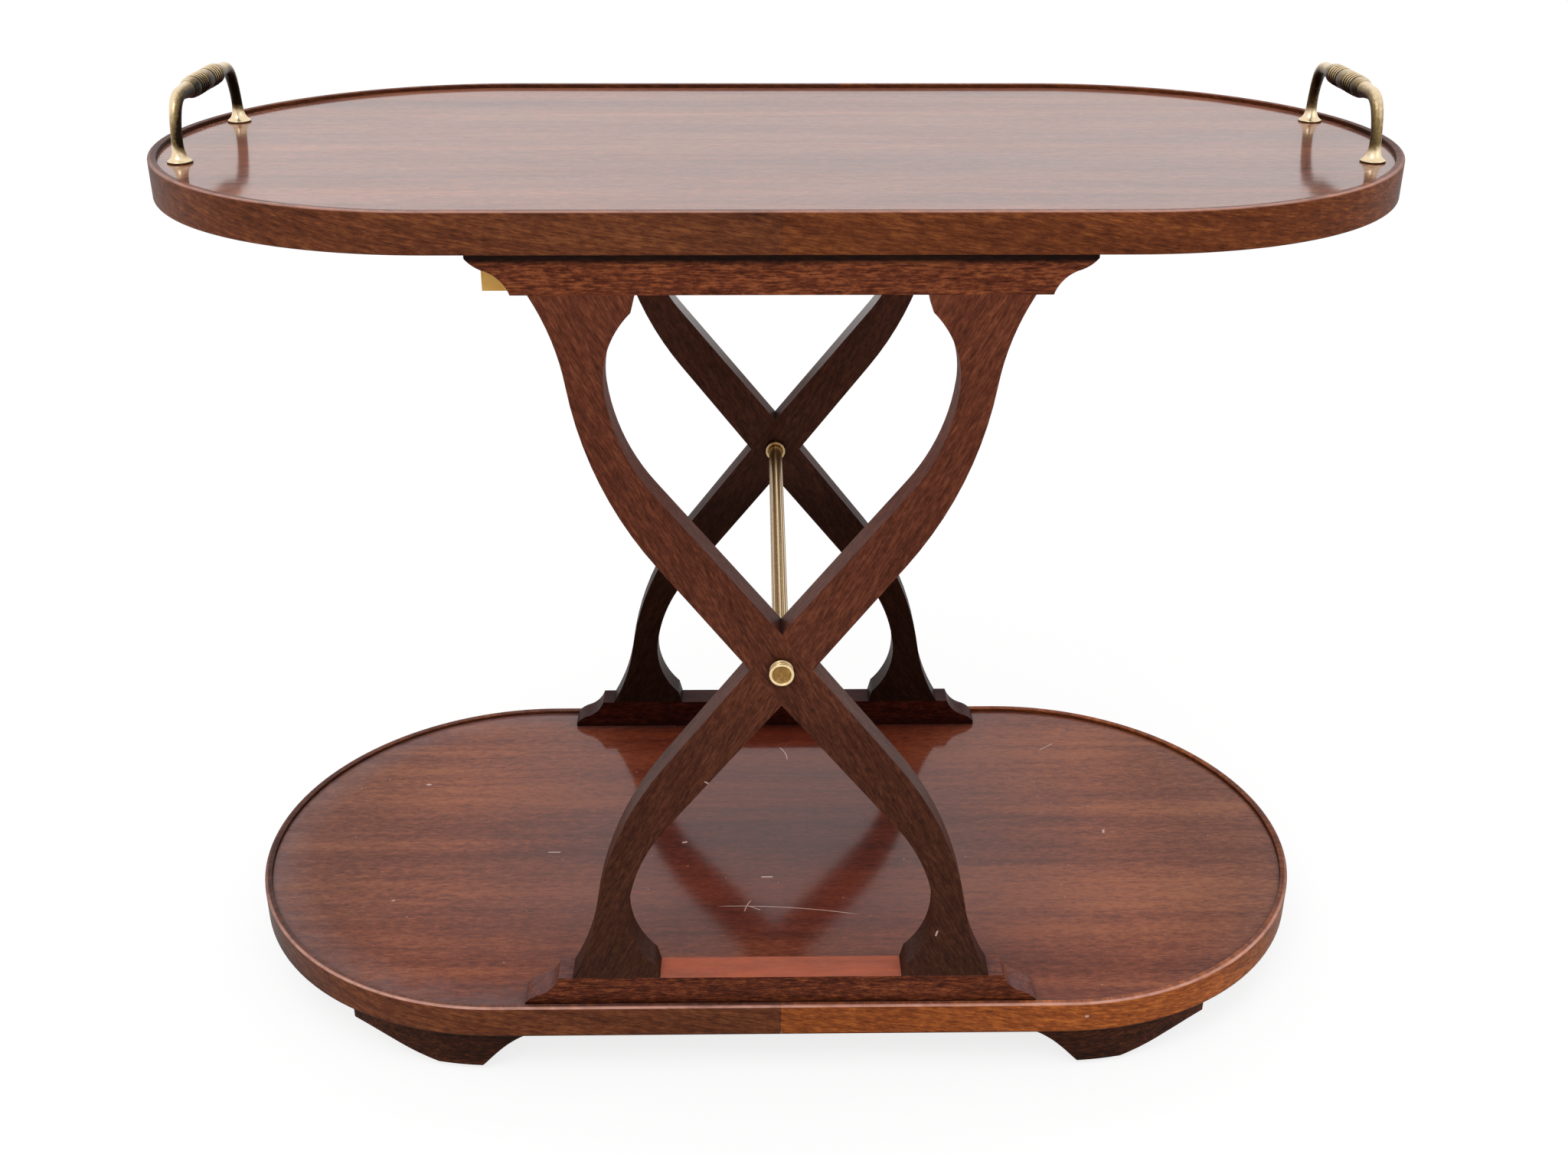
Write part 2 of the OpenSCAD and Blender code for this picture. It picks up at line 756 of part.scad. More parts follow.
// Square plate with the turned boss that the fork swivels under
module castor_plate(x_side, y_side) {
    boss_d = 24;
    color("#9a9a96")
        difference() {
            castor_place(x_side, y_side)
                difference() {
                    union() {
                        translate([-plate_w / 2, -plate_w / 2, castor_h - plate_t])
                            cube([plate_w, plate_w, plate_t]);
                        translate([0, 0, fork_top + swivel_gap])
                            cylinder(d = boss_d, h = castor_h - plate_t - fork_top - swivel_gap, $fn = fine);
                    }
                    translate([0, 0, fork_top - 1]) hole(kingpin_d + 2 * pin_gap, castor_h);
                    translate([0, 0, castor_h - 1.5])
                        cylinder(d1 = kingpin_d + 2 * pin_gap, d2 = kingpin_d + 3.2, h = 1.6, $fn = fine);
                }
            translate([0, 0, castor_h - plate_t])
                castor_screw_places() wood_screw(small_screw_d, 2 * small_screw_d, small_screw_l, glue_gap);
        }
}

// Riveted pin that holds the fork under the plate
module kingpin(x_side, y_side) {
    head_d = kingpin_d + 4;
    head_h = 1.4;
    color("#b4b4b0")
        castor_place(x_side, y_side) {
            translate([0, 0, fork_top - fork_t - swivel_gap - head_h])
                cylinder(d = head_d, h = head_h, $fn = fine);
            translate([0, 0, fork_top - fork_t - swivel_gap - head_h])
                cylinder(d = kingpin_d, h = castor_h - 0.1 - fork_top + fork_t + swivel_gap + head_h, $fn = fine);
            translate([0, 0, castor_h - 1.4])
                cylinder(d1 = kingpin_d, d2 = kingpin_d + 2.6, h = 1.3, $fn = fine);
        }
}

// Pressed fork: a round crown and two cheeks that reach back to the axle
module fork(x_side, y_side) {
    crown_d = 2 * (cheek_in + fork_t) + 4;
    cheek_w = 15;
    crown_z = fork_top - fork_t;
    color("#a8a8a4")
        castor_place(x_side, y_side)
            difference() {
                union() {
                    translate([0, 0, crown_z]) cylinder(d = crown_d, h = fork_t, $fn = fine);
                    for (s = [-1, 1])
                        translate([0, s * (cheek_in + fork_t / 2) + fork_t / 2, 0])
                            rotate([90, 0, 0])
                                linear_extrude(fork_t) {
                                    polygon([
                                        [-cheek_w / 2, fork_top], [-cheek_w / 2, crown_z - 2],
                                        [trail - cheek_r, wheel_d / 2], [trail + cheek_r, wheel_d / 2],
                                        [cheek_w / 2 + 2, fork_top]
                                    ]);
                                    translate([trail, wheel_d / 2]) circle(r = cheek_r, $fn = fine);
                                }
                }
                translate([0, 0, crown_z - 1]) hole(kingpin_d + 2 * pin_gap, fork_t + 2);
                translate([trail, -cheek_in - fork_t - 1, wheel_d / 2])
                    rotate([-90, 0, 0])
                        hole(axle_d + 2 * pin_gap, 2 * (cheek_in + fork_t + 1));
            }
}

module axle(x_side, y_side) {
    reach = cheek_in + fork_t;
    color("#b4b4b0")
        castor_place(x_side, y_side)
            translate([trail, 0, wheel_d / 2])
                rotate([90, 0, 0]) {
                    cylinder(d = axle_d, h = 2 * reach, center = true, $fn = fine);
                    for (s = [-1, 1])
                        translate([0, 0, s * (reach + rivet_h / 2)])
                            cylinder(d = rivet_d, h = rivet_h, center = true, $fn = fine);
                }
}

// Solid wheel with rounded tread edges and dished sides
module wheel(x_side, y_side) {
    tread_r = 1.5;
    hub_d = 10;
    dish_h = 1.2;
    color("#2c2a28")
        castor_place(x_side, y_side)
            translate([trail, 0, wheel_d / 2])
                rotate([90, 0, 0])
                    rotate_extrude($fn = fine)
                        difference() {
                            translate([axle_d / 2 + pin_gap, -wheel_w / 2])
                                square([(wheel_d - axle_d) / 2 - pin_gap, wheel_w]);
                            for (s = [-1, 1]) {
                                rounded_corner(wheel_d / 2, s * wheel_w / 2, tread_r, 1, s);
                                translate([hub_d / 2, s * wheel_w / 2 - dish_h])
                                    square([wheel_d / 2 - 3 - hub_d / 2, 2 * dish_h]);
                            }
                        }
}

top_board();
top_rim(left);  // top_rim_left
top_rim(right);  // top_rim_right
lower_board();
lower_rim(left);  // lower_rim_left
lower_rim(right);  // lower_rim_right
upper_rail(front);  // front_upper_rail
upper_rail(back);  // back_upper_rail
lower_rail(front);  // front_lower_rail
lower_rail(back);  // back_lower_rail
leg(left, front);  // front_leg_left
leg(right, front);  // front_leg_right
leg(left, back);  // back_leg_left
leg(right, back);  // back_leg_right
stretcher_rod();
rod_collars();
knob(front);  // front_knob
knob(back);  // back_knob
cleat(-left_cleat_x);  // left_cleat
cleat(right_cleat_x);  // right_cleat
handle_post(left, front);  // left_handle_front_post
handle_post(left, back);  // left_handle_back_post
handle_grip(left);  // left_handle_grip
handle_post(right, front);  // right_handle_front_post
handle_post(right, back);  // right_handle_back_post
handle_grip(right);  // right_handle_grip
bracket_foot(left, front);  // front_left_foot
bracket_foot(right, front);  // front_right_foot
bracket_foot(left, back);  // back_left_foot
bracket_foot(right, back);  // back_right_foot
leg_dowels();
top_rail_screws();
lower_rail_screws();
cleat_screws();
foot_screws();
handle_screws();
castor_screws();
castor_plate(left, front);  // front_left_castor_plate
castor_plate(right, front);  // front_right_castor_plate
castor_plate(left, back);  // back_left_castor_plate
castor_plate(right, back);  // back_right_castor_plate
kingpin(left, front);  // front_left_kingpin
kingpin(right, front);  // front_right_kingpin
kingpin(left, back);  // back_left_kingpin
kingpin(right, back);  // back_right_kingpin
fork(left, front);  // front_left_fork
fork(right, front);  // front_right_fork
fork(left, back);  // back_left_fork
fork(right, back);  // back_right_fork
axle(left, front);  // front_left_axle
axle(right, front);  // front_right_axle
axle(left, back);  // back_left_axle
axle(right, back);  // back_right_axle
wheel(left, front);  // front_left_wheel
wheel(right, front);  // front_right_wheel
wheel(left, back);  // back_left_wheel
wheel(right, back);  // back_right_wheel
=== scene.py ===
"""Looks of the two-tier serving trolley: polished mahogany, aged brass, and a pale studio."""
import json
import math

import bpy
from mathutils import Matrix, Vector


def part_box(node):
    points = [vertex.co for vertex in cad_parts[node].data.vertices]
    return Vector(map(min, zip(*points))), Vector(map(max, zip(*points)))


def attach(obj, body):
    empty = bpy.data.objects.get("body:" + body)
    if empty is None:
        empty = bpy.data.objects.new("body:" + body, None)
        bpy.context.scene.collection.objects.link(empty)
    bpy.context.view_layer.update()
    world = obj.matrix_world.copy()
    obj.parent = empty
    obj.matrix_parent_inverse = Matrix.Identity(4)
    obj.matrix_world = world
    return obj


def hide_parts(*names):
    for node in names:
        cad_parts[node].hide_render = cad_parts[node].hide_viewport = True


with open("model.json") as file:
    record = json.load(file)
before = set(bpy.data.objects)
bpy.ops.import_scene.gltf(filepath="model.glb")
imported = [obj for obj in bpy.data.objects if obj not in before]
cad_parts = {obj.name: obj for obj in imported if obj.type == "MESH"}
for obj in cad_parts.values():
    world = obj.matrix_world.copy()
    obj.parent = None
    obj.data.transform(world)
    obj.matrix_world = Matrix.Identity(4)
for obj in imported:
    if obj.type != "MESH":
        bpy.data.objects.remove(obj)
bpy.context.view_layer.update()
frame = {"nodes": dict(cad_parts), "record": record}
NODES = frame["nodes"]

# Places that the looks need, from the frame (metres)
TOP_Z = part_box("top_board")[1].z
RIM_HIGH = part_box("top_rim_right")[1]
GRIP_LOW, GRIP_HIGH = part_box("right_handle_grip")
POST_LOW, POST_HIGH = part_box("right_handle_front_post")
TIER_HALF_WIDTH = RIM_HIGH.y
ARC_X = RIM_HIGH.x - TIER_HALF_WIDTH
HANDLE_X = (GRIP_LOW.x + GRIP_HIGH.x) / 2
GRIP_Z = (GRIP_LOW.z + GRIP_HIGH.z) / 2
GRIP_HALF = GRIP_HIGH.y
FLANGE_R = (POST_HIGH.x - POST_LOW.x) / 2
FOOT_Y = -POST_LOW.y - FLANGE_R
ROD_Z = sum(corner.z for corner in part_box("stretcher_rod")) / 2
LOWER_RIM_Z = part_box("lower_rim_right")[0].z
KNOB_LOW, KNOB_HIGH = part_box("front_knob")
BRACKET_LOW, BRACKET_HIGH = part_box("front_right_foot")
BRACKET_R = -BRACKET_LOW.y
BRACKET_H = BRACKET_HIGH.z - BRACKET_LOW.z
UPPER_RAIL_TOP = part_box("front_upper_rail")[1].z

# Camera, fitted to the photograph
LENS_MM = 38.39
PITCH_DOWN = 25.93
YAW_RIGHT = 0.93
ROLL = 0.16
CAMERA_AT = (-0.0151, -1.2469, 0.9293)

# Stretches over which one look turns into another (metres)
FRONT_TO_BACK = (-0.05, 0.05)
LEFT_TO_RIGHT = (-0.1, 0.1)
LOWER_TO_TOP = (0.2, 0.4)

# How far the grain leans on the lippings and the legs (degrees)
RIM_GRAIN_SLANT = 9.0
LEG_GRAIN_LEAN = 62.0

# Light: strength of the world from the horizon up to the zenith, and the looks of the floor
HORIZON_LIGHT = 0.16
ZENITH_LIGHT = 1.2
LIT_POINT = (0, 0, 0.4)
FLOOR_GREY = (0.7, 0.7, 0.7, 1)
FLOOR_GLOW = 1.22
FLOOR_GLOW_SHARE = 0.66


def srgb(r, g, b):
    """A colour given as 0-255 sRGB values."""
    linear = [((v / 255 + 0.055) / 1.055) ** 2.4 if v > 10 else v / 255 / 12.92 for v in (r, g, b)]
    return (*linear, 1.0)


WHITE = (1, 1, 1, 1)
PORE = srgb(24, 8, 5)
# Colour of the painted shade in corners, creases and gaps
PAINTED_CORNER_SHADE = srgb(24, 11, 8)
# Grey dust, which also stands in for a painted sheen on what faces up
DUST_AND_SHEEN = srgb(132, 106, 110)
HAZE = srgb(124, 108, 112)
PALE_MARK = srgb(225, 192, 180)
CRUMB = srgb(52, 40, 36)
# Colour of the painted highlight on a lip's crest
LIP_HIGHLIGHT = srgb(232, 174, 156)
BLEACHED_RAIL = srgb(206, 112, 82)


# Node helpers

def new_material(name):
    """An empty node material and its output node."""
    material = bpy.data.materials.new(name)
    material.use_nodes = True
    tree = material.node_tree
    tree.nodes.clear()
    return material, tree, tree.nodes.new("ShaderNodeOutputMaterial")


def add(tree, kind, inputs=None, **settings):
    """A node with its settings, and its inputs either linked or set to a value."""
    node = tree.nodes.new("ShaderNode" + kind)
    for key, value in settings.items():
        setattr(node, key, value)
    for key, value in (inputs or {}).items():
        if isinstance(value, bpy.types.NodeSocket):
            tree.links.new(value, node.inputs[key])
        else:
            node.inputs[key].default_value = value
    return node


def calc(tree, operation, a, b=0.0, clamp=False):
    return add(tree, "Math", {0: a, 1: b}, operation=operation, use_clamp=clamp).outputs[0]


def span(tree, value, low, high, to_low=0.0, to_high=1.0):
    """The value's place between low and high, as a number between to_low and to_high."""
    return add(tree, "MapRange", {"Value": value, 1: low, 2: high, 3: to_low, 4: to_high}).outputs[0]


def multiply(tree, first, *others):
    """The product of several values."""
    product = first
    for other in others:
        product = calc(tree, "MULTIPLY", product, other)
    return product


def xyz(tree, vector):
    """The three coordinates of a vector."""
    return add(tree, "SeparateXYZ", {"Vector": vector}).outputs


def mix_colour(tree, factor, a, b, blend="MIX"):
    return add(tree, "Mix", {"Factor": factor, 6: a, 7: b}, data_type="RGBA", blend_type=blend).outputs[2]


def tint(tree, a, b):
    """The product of two colours."""
    return mix_colour(tree, 1.0, a, b, "MULTIPLY")


def ramp(tree, factor, *stops):
    """A colour ramp through (position, colour or grey) stops."""
    node = add(tree, "ValToRGB", {"Fac": factor})
    elements = node.color_ramp.elements
    while len(elements) < len(stops):
        elements.new(0.5)
    for element, (position, colour) in zip(elements, stops):
        element.position = position
        element.color = colour if isinstance(colour, tuple) else (colour, colour, colour, 1)
    return node.outputs["Color"]


def scaled(tree, vector, scale, shift):
    """A vector scaled along each axis and moved by the same amount along all three."""
    inputs = {"Vector": vector, "Scale": scale, "Location": (shift, shift, shift)}
    return add(tree, "Mapping", inputs).outputs[0]


def noise(tree, vector, stretch, detail=3.0, roughness=0.55, distortion=0.0, shift=0.0):
    """Noise whose cells per metre along the three grain directions are the numbers in stretch."""
    return add(tree, "TexNoise", {
        "Vector": scaled(tree, vector, stretch, shift), "Scale": 1.0,
        "Detail": detail, "Roughness": roughness, "Distortion": distortion,
    }).outputs["Fac"]


def distance(tree, a, b):
    """The length of the vector (a, b)."""
    flat = add(tree, "CombineXYZ", {0: a, 1: b}).outputs[0]
    return add(tree, "VectorMath", {0: flat}, operation="LENGTH").outputs["Value"]


def object_place(tree):
    return add(tree, "TexCoord").outputs["Object"]


def normal_part(tree, axis):
    """One coordinate of the surface's own direction: 0 is x, 1 is y, 2 is z."""
    return xyz(tree, add(tree, "NewGeometry").outputs["Normal"])[axis]


def facing_up(tree, low=0.4, high=0.6):
    """1 on what looks up, 0 on sides and undersides."""
    return span(tree, normal_part(tree, 2), low, high)


def shader_of(tree, output, inputs):
    """Joins a principled shader with these inputs to the output."""
    tree.links.new(add(tree, "BsdfPrincipled", inputs).outputs[0], output.inputs[0])


# Grain directions

def turned(tree, vector, angle, axis):
    """A vector turned about an axis by an angle in degrees."""
    inputs = {"Vector": vector, "Angle": math.radians(angle)}
    return add(tree, "VectorRotate", inputs, rotation_type=axis + "_AXIS").outputs[0]


def straight_grain(tree, angle=0.0, axis="Y"):
    """Grain coordinates of a straight piece, turned about an axis: x runs along the grain."""
    return turned(tree, object_place(tree), angle, axis)


def rim_grain(tree):
    """Grain coordinates of a lipping: x runs round the oval, y is up and z tells front from back."""
    x, y, z = xyz(tree, object_place(tree))
    straight = add(tree, "Clamp", {"Value": x, "Min": -ARC_X, "Max": ARC_X}).outputs[0]
    angle = calc(tree, "ARCTAN2", calc(tree, "SUBTRACT", x, straight), calc(tree, "ABSOLUTE", y))
    run = calc(tree, "ADD", straight, multiply(tree, angle, TIER_HALF_WIDTH))
    side = multiply(tree, calc(tree, "SIGN", y), 3.0)
    vector = add(tree, "CombineXYZ", {0: run, 1: z, 2: side}).outputs[0]
    return turned(tree, vector, RIM_GRAIN_SLANT, "Z")


def edge_distance(tree, place):
    """How far a point lies inside the outer edge of a tier."""
    x, y, _ = xyz(tree, place)
    beyond = calc(tree, "MAXIMUM", calc(tree, "SUBTRACT", calc(tree, "ABSOLUTE", x), ARC_X), 0.0)
    return calc(tree, "SUBTRACT", TIER_HALF_WIDTH, distance(tree, beyond, y))


# Marks of use

def specks(tree, vector, per_metre, size, share, shift=0.0):
    """Scattered dots and short dashes, 1 on a mark: size is the dot's share of a cell."""
    place = scaled(tree, vector, per_metre, shift)
    cells = add(tree, "TexVoronoi", {"Vector": place, "Scale": 1.0}, feature="F1")
    chance = add(tree, "SeparateColor", {0: cells.outputs["Color"]}).outputs[0]
    dot = span(tree, cells.outputs["Distance"], size, size * 0.6)
    return multiply(tree, dot, calc(tree, "GREATER_THAN", chance, 1 - share))


def scratch(tree, place, middle, heading, length, width, bow=0.0):
    """A fine line on a level board, 1 on the line: bow is how far its middle lies off its chord."""
    mapped = add(tree, "Mapping", {
        "Vector": place, "Location": (*middle, 0.0), "Rotation": (0, 0, math.radians(heading)),
        "Scale": (length / 2, width / 2, 1.0),
    }, vector_type="TEXTURE").outputs[0]
    along, across, _ = xyz(tree, mapped)
    curve = multiply(tree, along, along, bow / (width / 2))
    off = calc(tree, "ABSOLUTE", calc(tree, "ADD", across, curve))
    ends = span(tree, calc(tree, "ABSOLUTE", along), 1.0, 0.8)
    return multiply(tree, span(tree, off, 1.0, 0.35), ends)


def together(tree, marks):
    """The strongest of several marks."""
    total = marks[0]
    for mark in marks[1:]:
        total = calc(tree, "MAXIMUM", total, mark)
    return total


def lower_board_marks(tree, place):
    """Scratches and crumbs of dried polish on the lower board, where the photograph shows them."""
    lines = [
        scratch(tree, place, (0.008, -0.1), -6, 0.122, 0.0011, 0.004),
        scratch(tree, place, (-0.027, -0.097), 70, 0.017, 0.0012, 0.001),
        scratch(tree, place, (-0.021, -0.1), -30, 0.013, 0.0012),
        scratch(tree, place, (0.009, 0.145), -72, 0.024, 0.0014, 0.002),
        scratch(tree, place, (0.2654, 0.1538), 38, 0.02, 0.0012),
        scratch(tree, place, (-0.0097, -0.0566), 0, 0.011, 0.0026),
        scratch(tree, place, (-0.198, -0.018), 0, 0.012, 0.0018),
        scratch(tree, place, (-0.083, -0.004), 20, 0.005, 0.003),
        scratch(tree, place, (0.295, 0.009), 80, 0.006, 0.0028),
    ]
    flecks = specks(tree, place, (16.0, 30.0, 20.0), 0.05, 0.35)
    dust = specks(tree, place, (90.0, 140.0, 90.0), 0.09, 0.12)
    marks = together(tree, lines + [flecks, multiply(tree, dust, 0.6)])
    return multiply(tree, marks, facing_up(tree))


def dusty_corner(tree, place):
    """1 in the corner behind the left handle, close to the lip."""
    x, y, _ = xyz(tree, place)
    edge = span(tree, edge_distance(tree, place), 0.011, 0.026, 1.0, 0.0)
    return multiply(tree, edge, span(tree, x, -0.36, -0.40), span(tree, y, -0.04, 0.02))


def top_board_marks(tree, place):
    """Dust in the corner behind the left handle, and a crumb near the right one."""
    grains = specks(tree, place, (420.0, 420.0, 300.0), 0.34, 0.42)
    dust = multiply(tree, grains, dusty_corner(tree, place), 0.7)
    crumb = scratch(tree, place, (0.401, -0.105), 12, 0.005, 0.0022)
    return multiply(tree, together(tree, [dust, crumb]), facing_up(tree))


def front_marks(*strokes):
    """Nicks on what faces the front, as a mask: each stroke is (x, z), heading, length, width."""
    def mask(tree, place):
        x, y, z = xyz(tree, place)
        flat = add(tree, "CombineXYZ", {0: x, 1: z, 2: 0.0}).outputs[0]
        lines = together(tree, [scratch(tree, flat, *stroke) for stroke in strokes])
        return multiply(tree, lines, span(tree, y, 0.0, -0.05), span(tree, normal_part(tree, 1), -0.3, -0.6))
    return mask


# Materials

def mahogany(name, grain, dark, mid, light, fine=1.0, broad=1.0, coat=1.0, coat_rough=0.12, level=0.1,
             dust=0.0, wear_and_highlight=None, colour_and_shade=None, marks=None, corner_shade=0.6):
    """Polished mahogany: ribbons, fine lines and pores, a coat of polish, painted shade in corners, dust with a
    painted sheen on what faces up, small marks.

    coat and dust are numbers or masks. A colour may be given that multiplies the wood's: its own tone on the top
    board and the right lipping, painted shade on the lower board, rails and lippings, and on the legs a
    darkening towards the lower tier with painted shade on the back ones.
    A mask may be given with the colour that shows there: real dust on the lower board, bleaching on the rails,
    and a painted highlight on the lippings.
    """
    material, tree, output = new_material(name)
    place = object_place(tree)
    vector = grain(tree)
    ribbons = noise(tree, vector, (1.3, 24.0, 24.0), detail=3.0, roughness=0.6, distortion=0.25)
    streaks = noise(tree, vector, (15.0, 190.0, 190.0), detail=3.0, roughness=0.65, shift=3.1)
    lines = noise(tree, vector, (85.0, 900.0, 900.0), detail=2.0, roughness=0.7, shift=7.7)
    mottle = noise(tree, vector, (130.0, 330.0, 330.0), detail=4.0, roughness=0.7, shift=5.3)
    dashes = noise(tree, vector, (170.0, 1500.0, 1500.0), detail=1.0, shift=11.3)
    light_dashes = noise(tree, vector, (150.0, 1300.0, 1300.0), detail=1.0, shift=17.9)

    tone = multiply(tree, calc(tree, "SUBTRACT", ribbons, 0.5), 0.8 * broad)
    for layer, weight in ((streaks, 0.42), (lines, 0.7), (mottle, 0.75)):
        part = multiply(tree, calc(tree, "SUBTRACT", layer, 0.5), weight * fine)
        tone = calc(tree, "ADD", tone, part)
    tone = calc(tree, "ADD", tone, 0.5)
    colour = ramp(tree, tone, (0.26, dark), (0.5, mid), (0.74, light))
    dash_weight = 0.45 * min(fine, 1.3)
    pores = span(tree, dashes, 0.60, 0.74, 0.0, dash_weight)
    colour = mix_colour(tree, pores, colour, PORE)
    shine = span(tree, light_dashes, 0.60, 0.76, 0.0, dash_weight)
    colour = mix_colour(tree, shine, colour, light)
    # The wood's colour is multiplied here, which lays painted shade on the lower board, rails, lippings and back
    # legs.
    if colour_and_shade:
        colour = tint(tree, colour, colour_and_shade(tree, place))

    # Painted shade: the wood turns towards a dark colour where ambient occlusion finds corners, creases and gaps
    # under other parts.
    hidden = add(tree, "AmbientOcclusion", {"Distance": 0.01}, samples=6).outputs["AO"]
    colour = mix_colour(tree, span(tree, hidden, 0.45, 0.9, corner_shade, 0.0), colour, PAINTED_CORNER_SHADE)
    # Dust on what faces up, which is also a painted sheen on those faces.
    if dust:
        amount = dust(tree, place) if callable(dust) else dust
        drifts = noise(tree, place, (60.0, 60.0, 60.0), detail=4.0, roughness=0.7)
        drifts = span(tree, drifts, 0.3, 0.65, 0.45, 1.0)
        dust_and_sheen_share = multiply(tree, facing_up(tree, 0.25, 0.85), amount, drifts)
        colour = mix_colour(tree, dust_and_sheen_share, colour, DUST_AND_SHEEN)
    # Real dust and bleaching are laid on here, and on the lippings a painted highlight.
    if wear_and_highlight:
        share, wear_and_highlight_colour = wear_and_highlight(tree, place)
        colour = mix_colour(tree, share, colour, wear_and_highlight_colour)
    if marks:
        colour = mix_colour(tree, multiply(tree, marks(tree, place), 0.85), colour, PALE_MARK)

    uneven = noise(tree, vector, (6.0, 26.0, 26.0), detail=5.0, roughness=0.7)
    under = span(tree, uneven, 0.3, 0.7, 0.44, 0.56)
    height = calc(tree, "ADD", multiply(tree, lines, 0.5), multiply(tree, pores, -0.8))
    bump = add(tree, "Bump", {"Height": height, "Strength": 0.12, "Distance": 0.0004}).outputs[0]
    ripple = noise(tree, vector, (4.0, 30.0, 30.0), detail=2.0)
    coat_bump = add(tree, "Bump", {"Height": ripple, "Strength": 0.05, "Distance": 0.002}).outputs[0]
    shader_of(tree, output, {
        "Base Color": colour, "Roughness": under, "Normal": bump, "Specular IOR Level": level,
        "Coat Weight": coat(tree, place) if callable(coat) else coat,
        "Coat Roughness": coat_rough, "Coat IOR": 1.5, "Coat Normal": coat_bump,
    })
    return material


def top_coat(tree, place):
    """Polish of the top board: strongest towards the front, and none on its underside."""
    _, y, _ = xyz(tree, place)
    return multiply(tree, span(tree, y, -0.22, 0.22, 1.0, 0.72), facing_up(tree, 0.2, 0.6))


def top_fade(tree, place):
    """The top board is a little paler along its front, with dark crumbs among the dust at its left end."""
    _, y, _ = xyz(tree, place)
    front = ramp(tree, span(tree, y, -0.1, -0.2), (0.0, 0.92), (1.0, 1.0))
    crumbs = specks(tree, place, (260.0, 260.0, 200.0), 0.36, 0.4, 3.7)
    return mix_colour(tree, multiply(tree, crumbs, dusty_corner(tree, place), 0.8), front, CRUMB)


def lower_coat(tree, place):
    """Polish of the lower board: still bright in the middle, dull at the ends and along the front."""
    x, y, _ = xyz(tree, place)
    ends = span(tree, calc(tree, "ABSOLUTE", x), 0.12, 0.36, 1.0, 0.4)
    front = span(tree, y, -0.19, -0.09, 0.5, 1.0)
    return multiply(tree, ends, front, facing_up(tree, 0.2, 0.6))


def lip_coat(tree, place):
    """Polish of a lipping: brighter on its upper edge along the front, dull on its sides."""
    _, y, _ = xyz(tree, place)
    return span(tree, normal_part(tree, 2), 0.2, 0.9, 0.06, span(tree, y, -0.04, -0.17, 0.1, 0.4))


def leg_coat(tree, place):
    """Polish of a leg: nearly gone, apart from the upper edges of the back legs, which catch the light."""
    _, y, z = xyz(tree, place)
    edges = multiply(tree, span(tree, y, *FRONT_TO_BACK), span(tree, z, 0.42, 0.5), facing_up(tree, 0.3, 0.6))
    return span(tree, edges, 0.0, 1.0, 0.06, 0.85)


def shaded_side(tree, y):
    """1 on what the back frame shows to the front, which the top keeps in shade."""
    return multiply(tree, span(tree, y, *FRONT_TO_BACK), span(tree, normal_part(tree, 1), 0.6, 0.2))


def leg_tone_and_shade(tree, place):
    """Legs darken towards the lower tier, and painted shade makes what the back legs show to the front darker
    than the front legs.
    """
    _, y, z = xyz(tree, place)
    down = ramp(tree, span(tree, z, 0.08, 0.62), (0.0, (0.32, 0.40, 0.40, 1)), (0.42, (0.6, 0.64, 0.66, 1)),
                (0.53, (0.88, 0.95, 1.0, 1)), (0.7, (0.84, 0.84, 0.86, 1)), (1.0, (1.06, 1.08, 1.08, 1)))
    shade = mix_colour(tree, span(tree, z, 0.3, 0.34), (0.36, 0.38, 0.42, 1), (0.56, 0.66, 0.72, 1))
    return tint(tree, down, mix_colour(tree, shaded_side(tree, y), WHITE, shade))


def rail_shade(tree, place):
    """Painted shadow of the top's rim makes the rails black close under the top, and painted shade darkens what
    the back rails show to the front.
    """
    _, y, z = xyz(tree, place)
    near_top = span(tree, z, UPPER_RAIL_TOP - 0.0075, UPPER_RAIL_TOP - 0.0045)
    under = ramp(tree, near_top, (0.0, 1.0), (1.0, 0.12))
    return tint(tree, under, mix_colour(tree, shaded_side(tree, y), WHITE, (0.22, 0.14, 0.17, 1)))


def rail_dust_and_sheen(tree, place):
    """Dust with a painted sheen lies on the front rails, and little of it on the back ones, which the top
    shades.
    """
    return span(tree, xyz(tree, place)[1], *FRONT_TO_BACK, 0.5, 0.12)


def lower_board_shade(tree, place):
    """Painted shade of the top tier on the lower board: darkest in its middle, lighter towards its ends and its
    front.
    """
    x, y, _ = xyz(tree, place)
    ends = span(tree, calc(tree, "ABSOLUTE", x), 0.08, 0.38)
    front = span(tree, y, -0.11, -0.17, 0.0, 0.42)
    return ramp(tree, calc(tree, "MAXIMUM", ends, front), (0.0, (0.52, 0.28, 0.24, 1)),
                (0.73, (1.02, 0.94, 0.88, 1)), (1.0, (0.84, 0.89, 0.9, 1)))


def lower_haze(tree, place):
    """Grey dust lies along the lip of the lower board, most at its left end."""
    x, _, _ = xyz(tree, place)
    edge = span(tree, edge_distance(tree, place), 0.006, 0.042, 0.5, 0.0)
    left = span(tree, x, 0.0, -0.22, 0.2, 1.0)
    uneven = noise(tree, place, (50.0, 80.0, 50.0), detail=5.0, roughness=0.7)
    share = multiply(tree, edge, left, span(tree, uneven, 0.3, 0.6, 0.3, 1.0), facing_up(tree))
    return share, HAZE


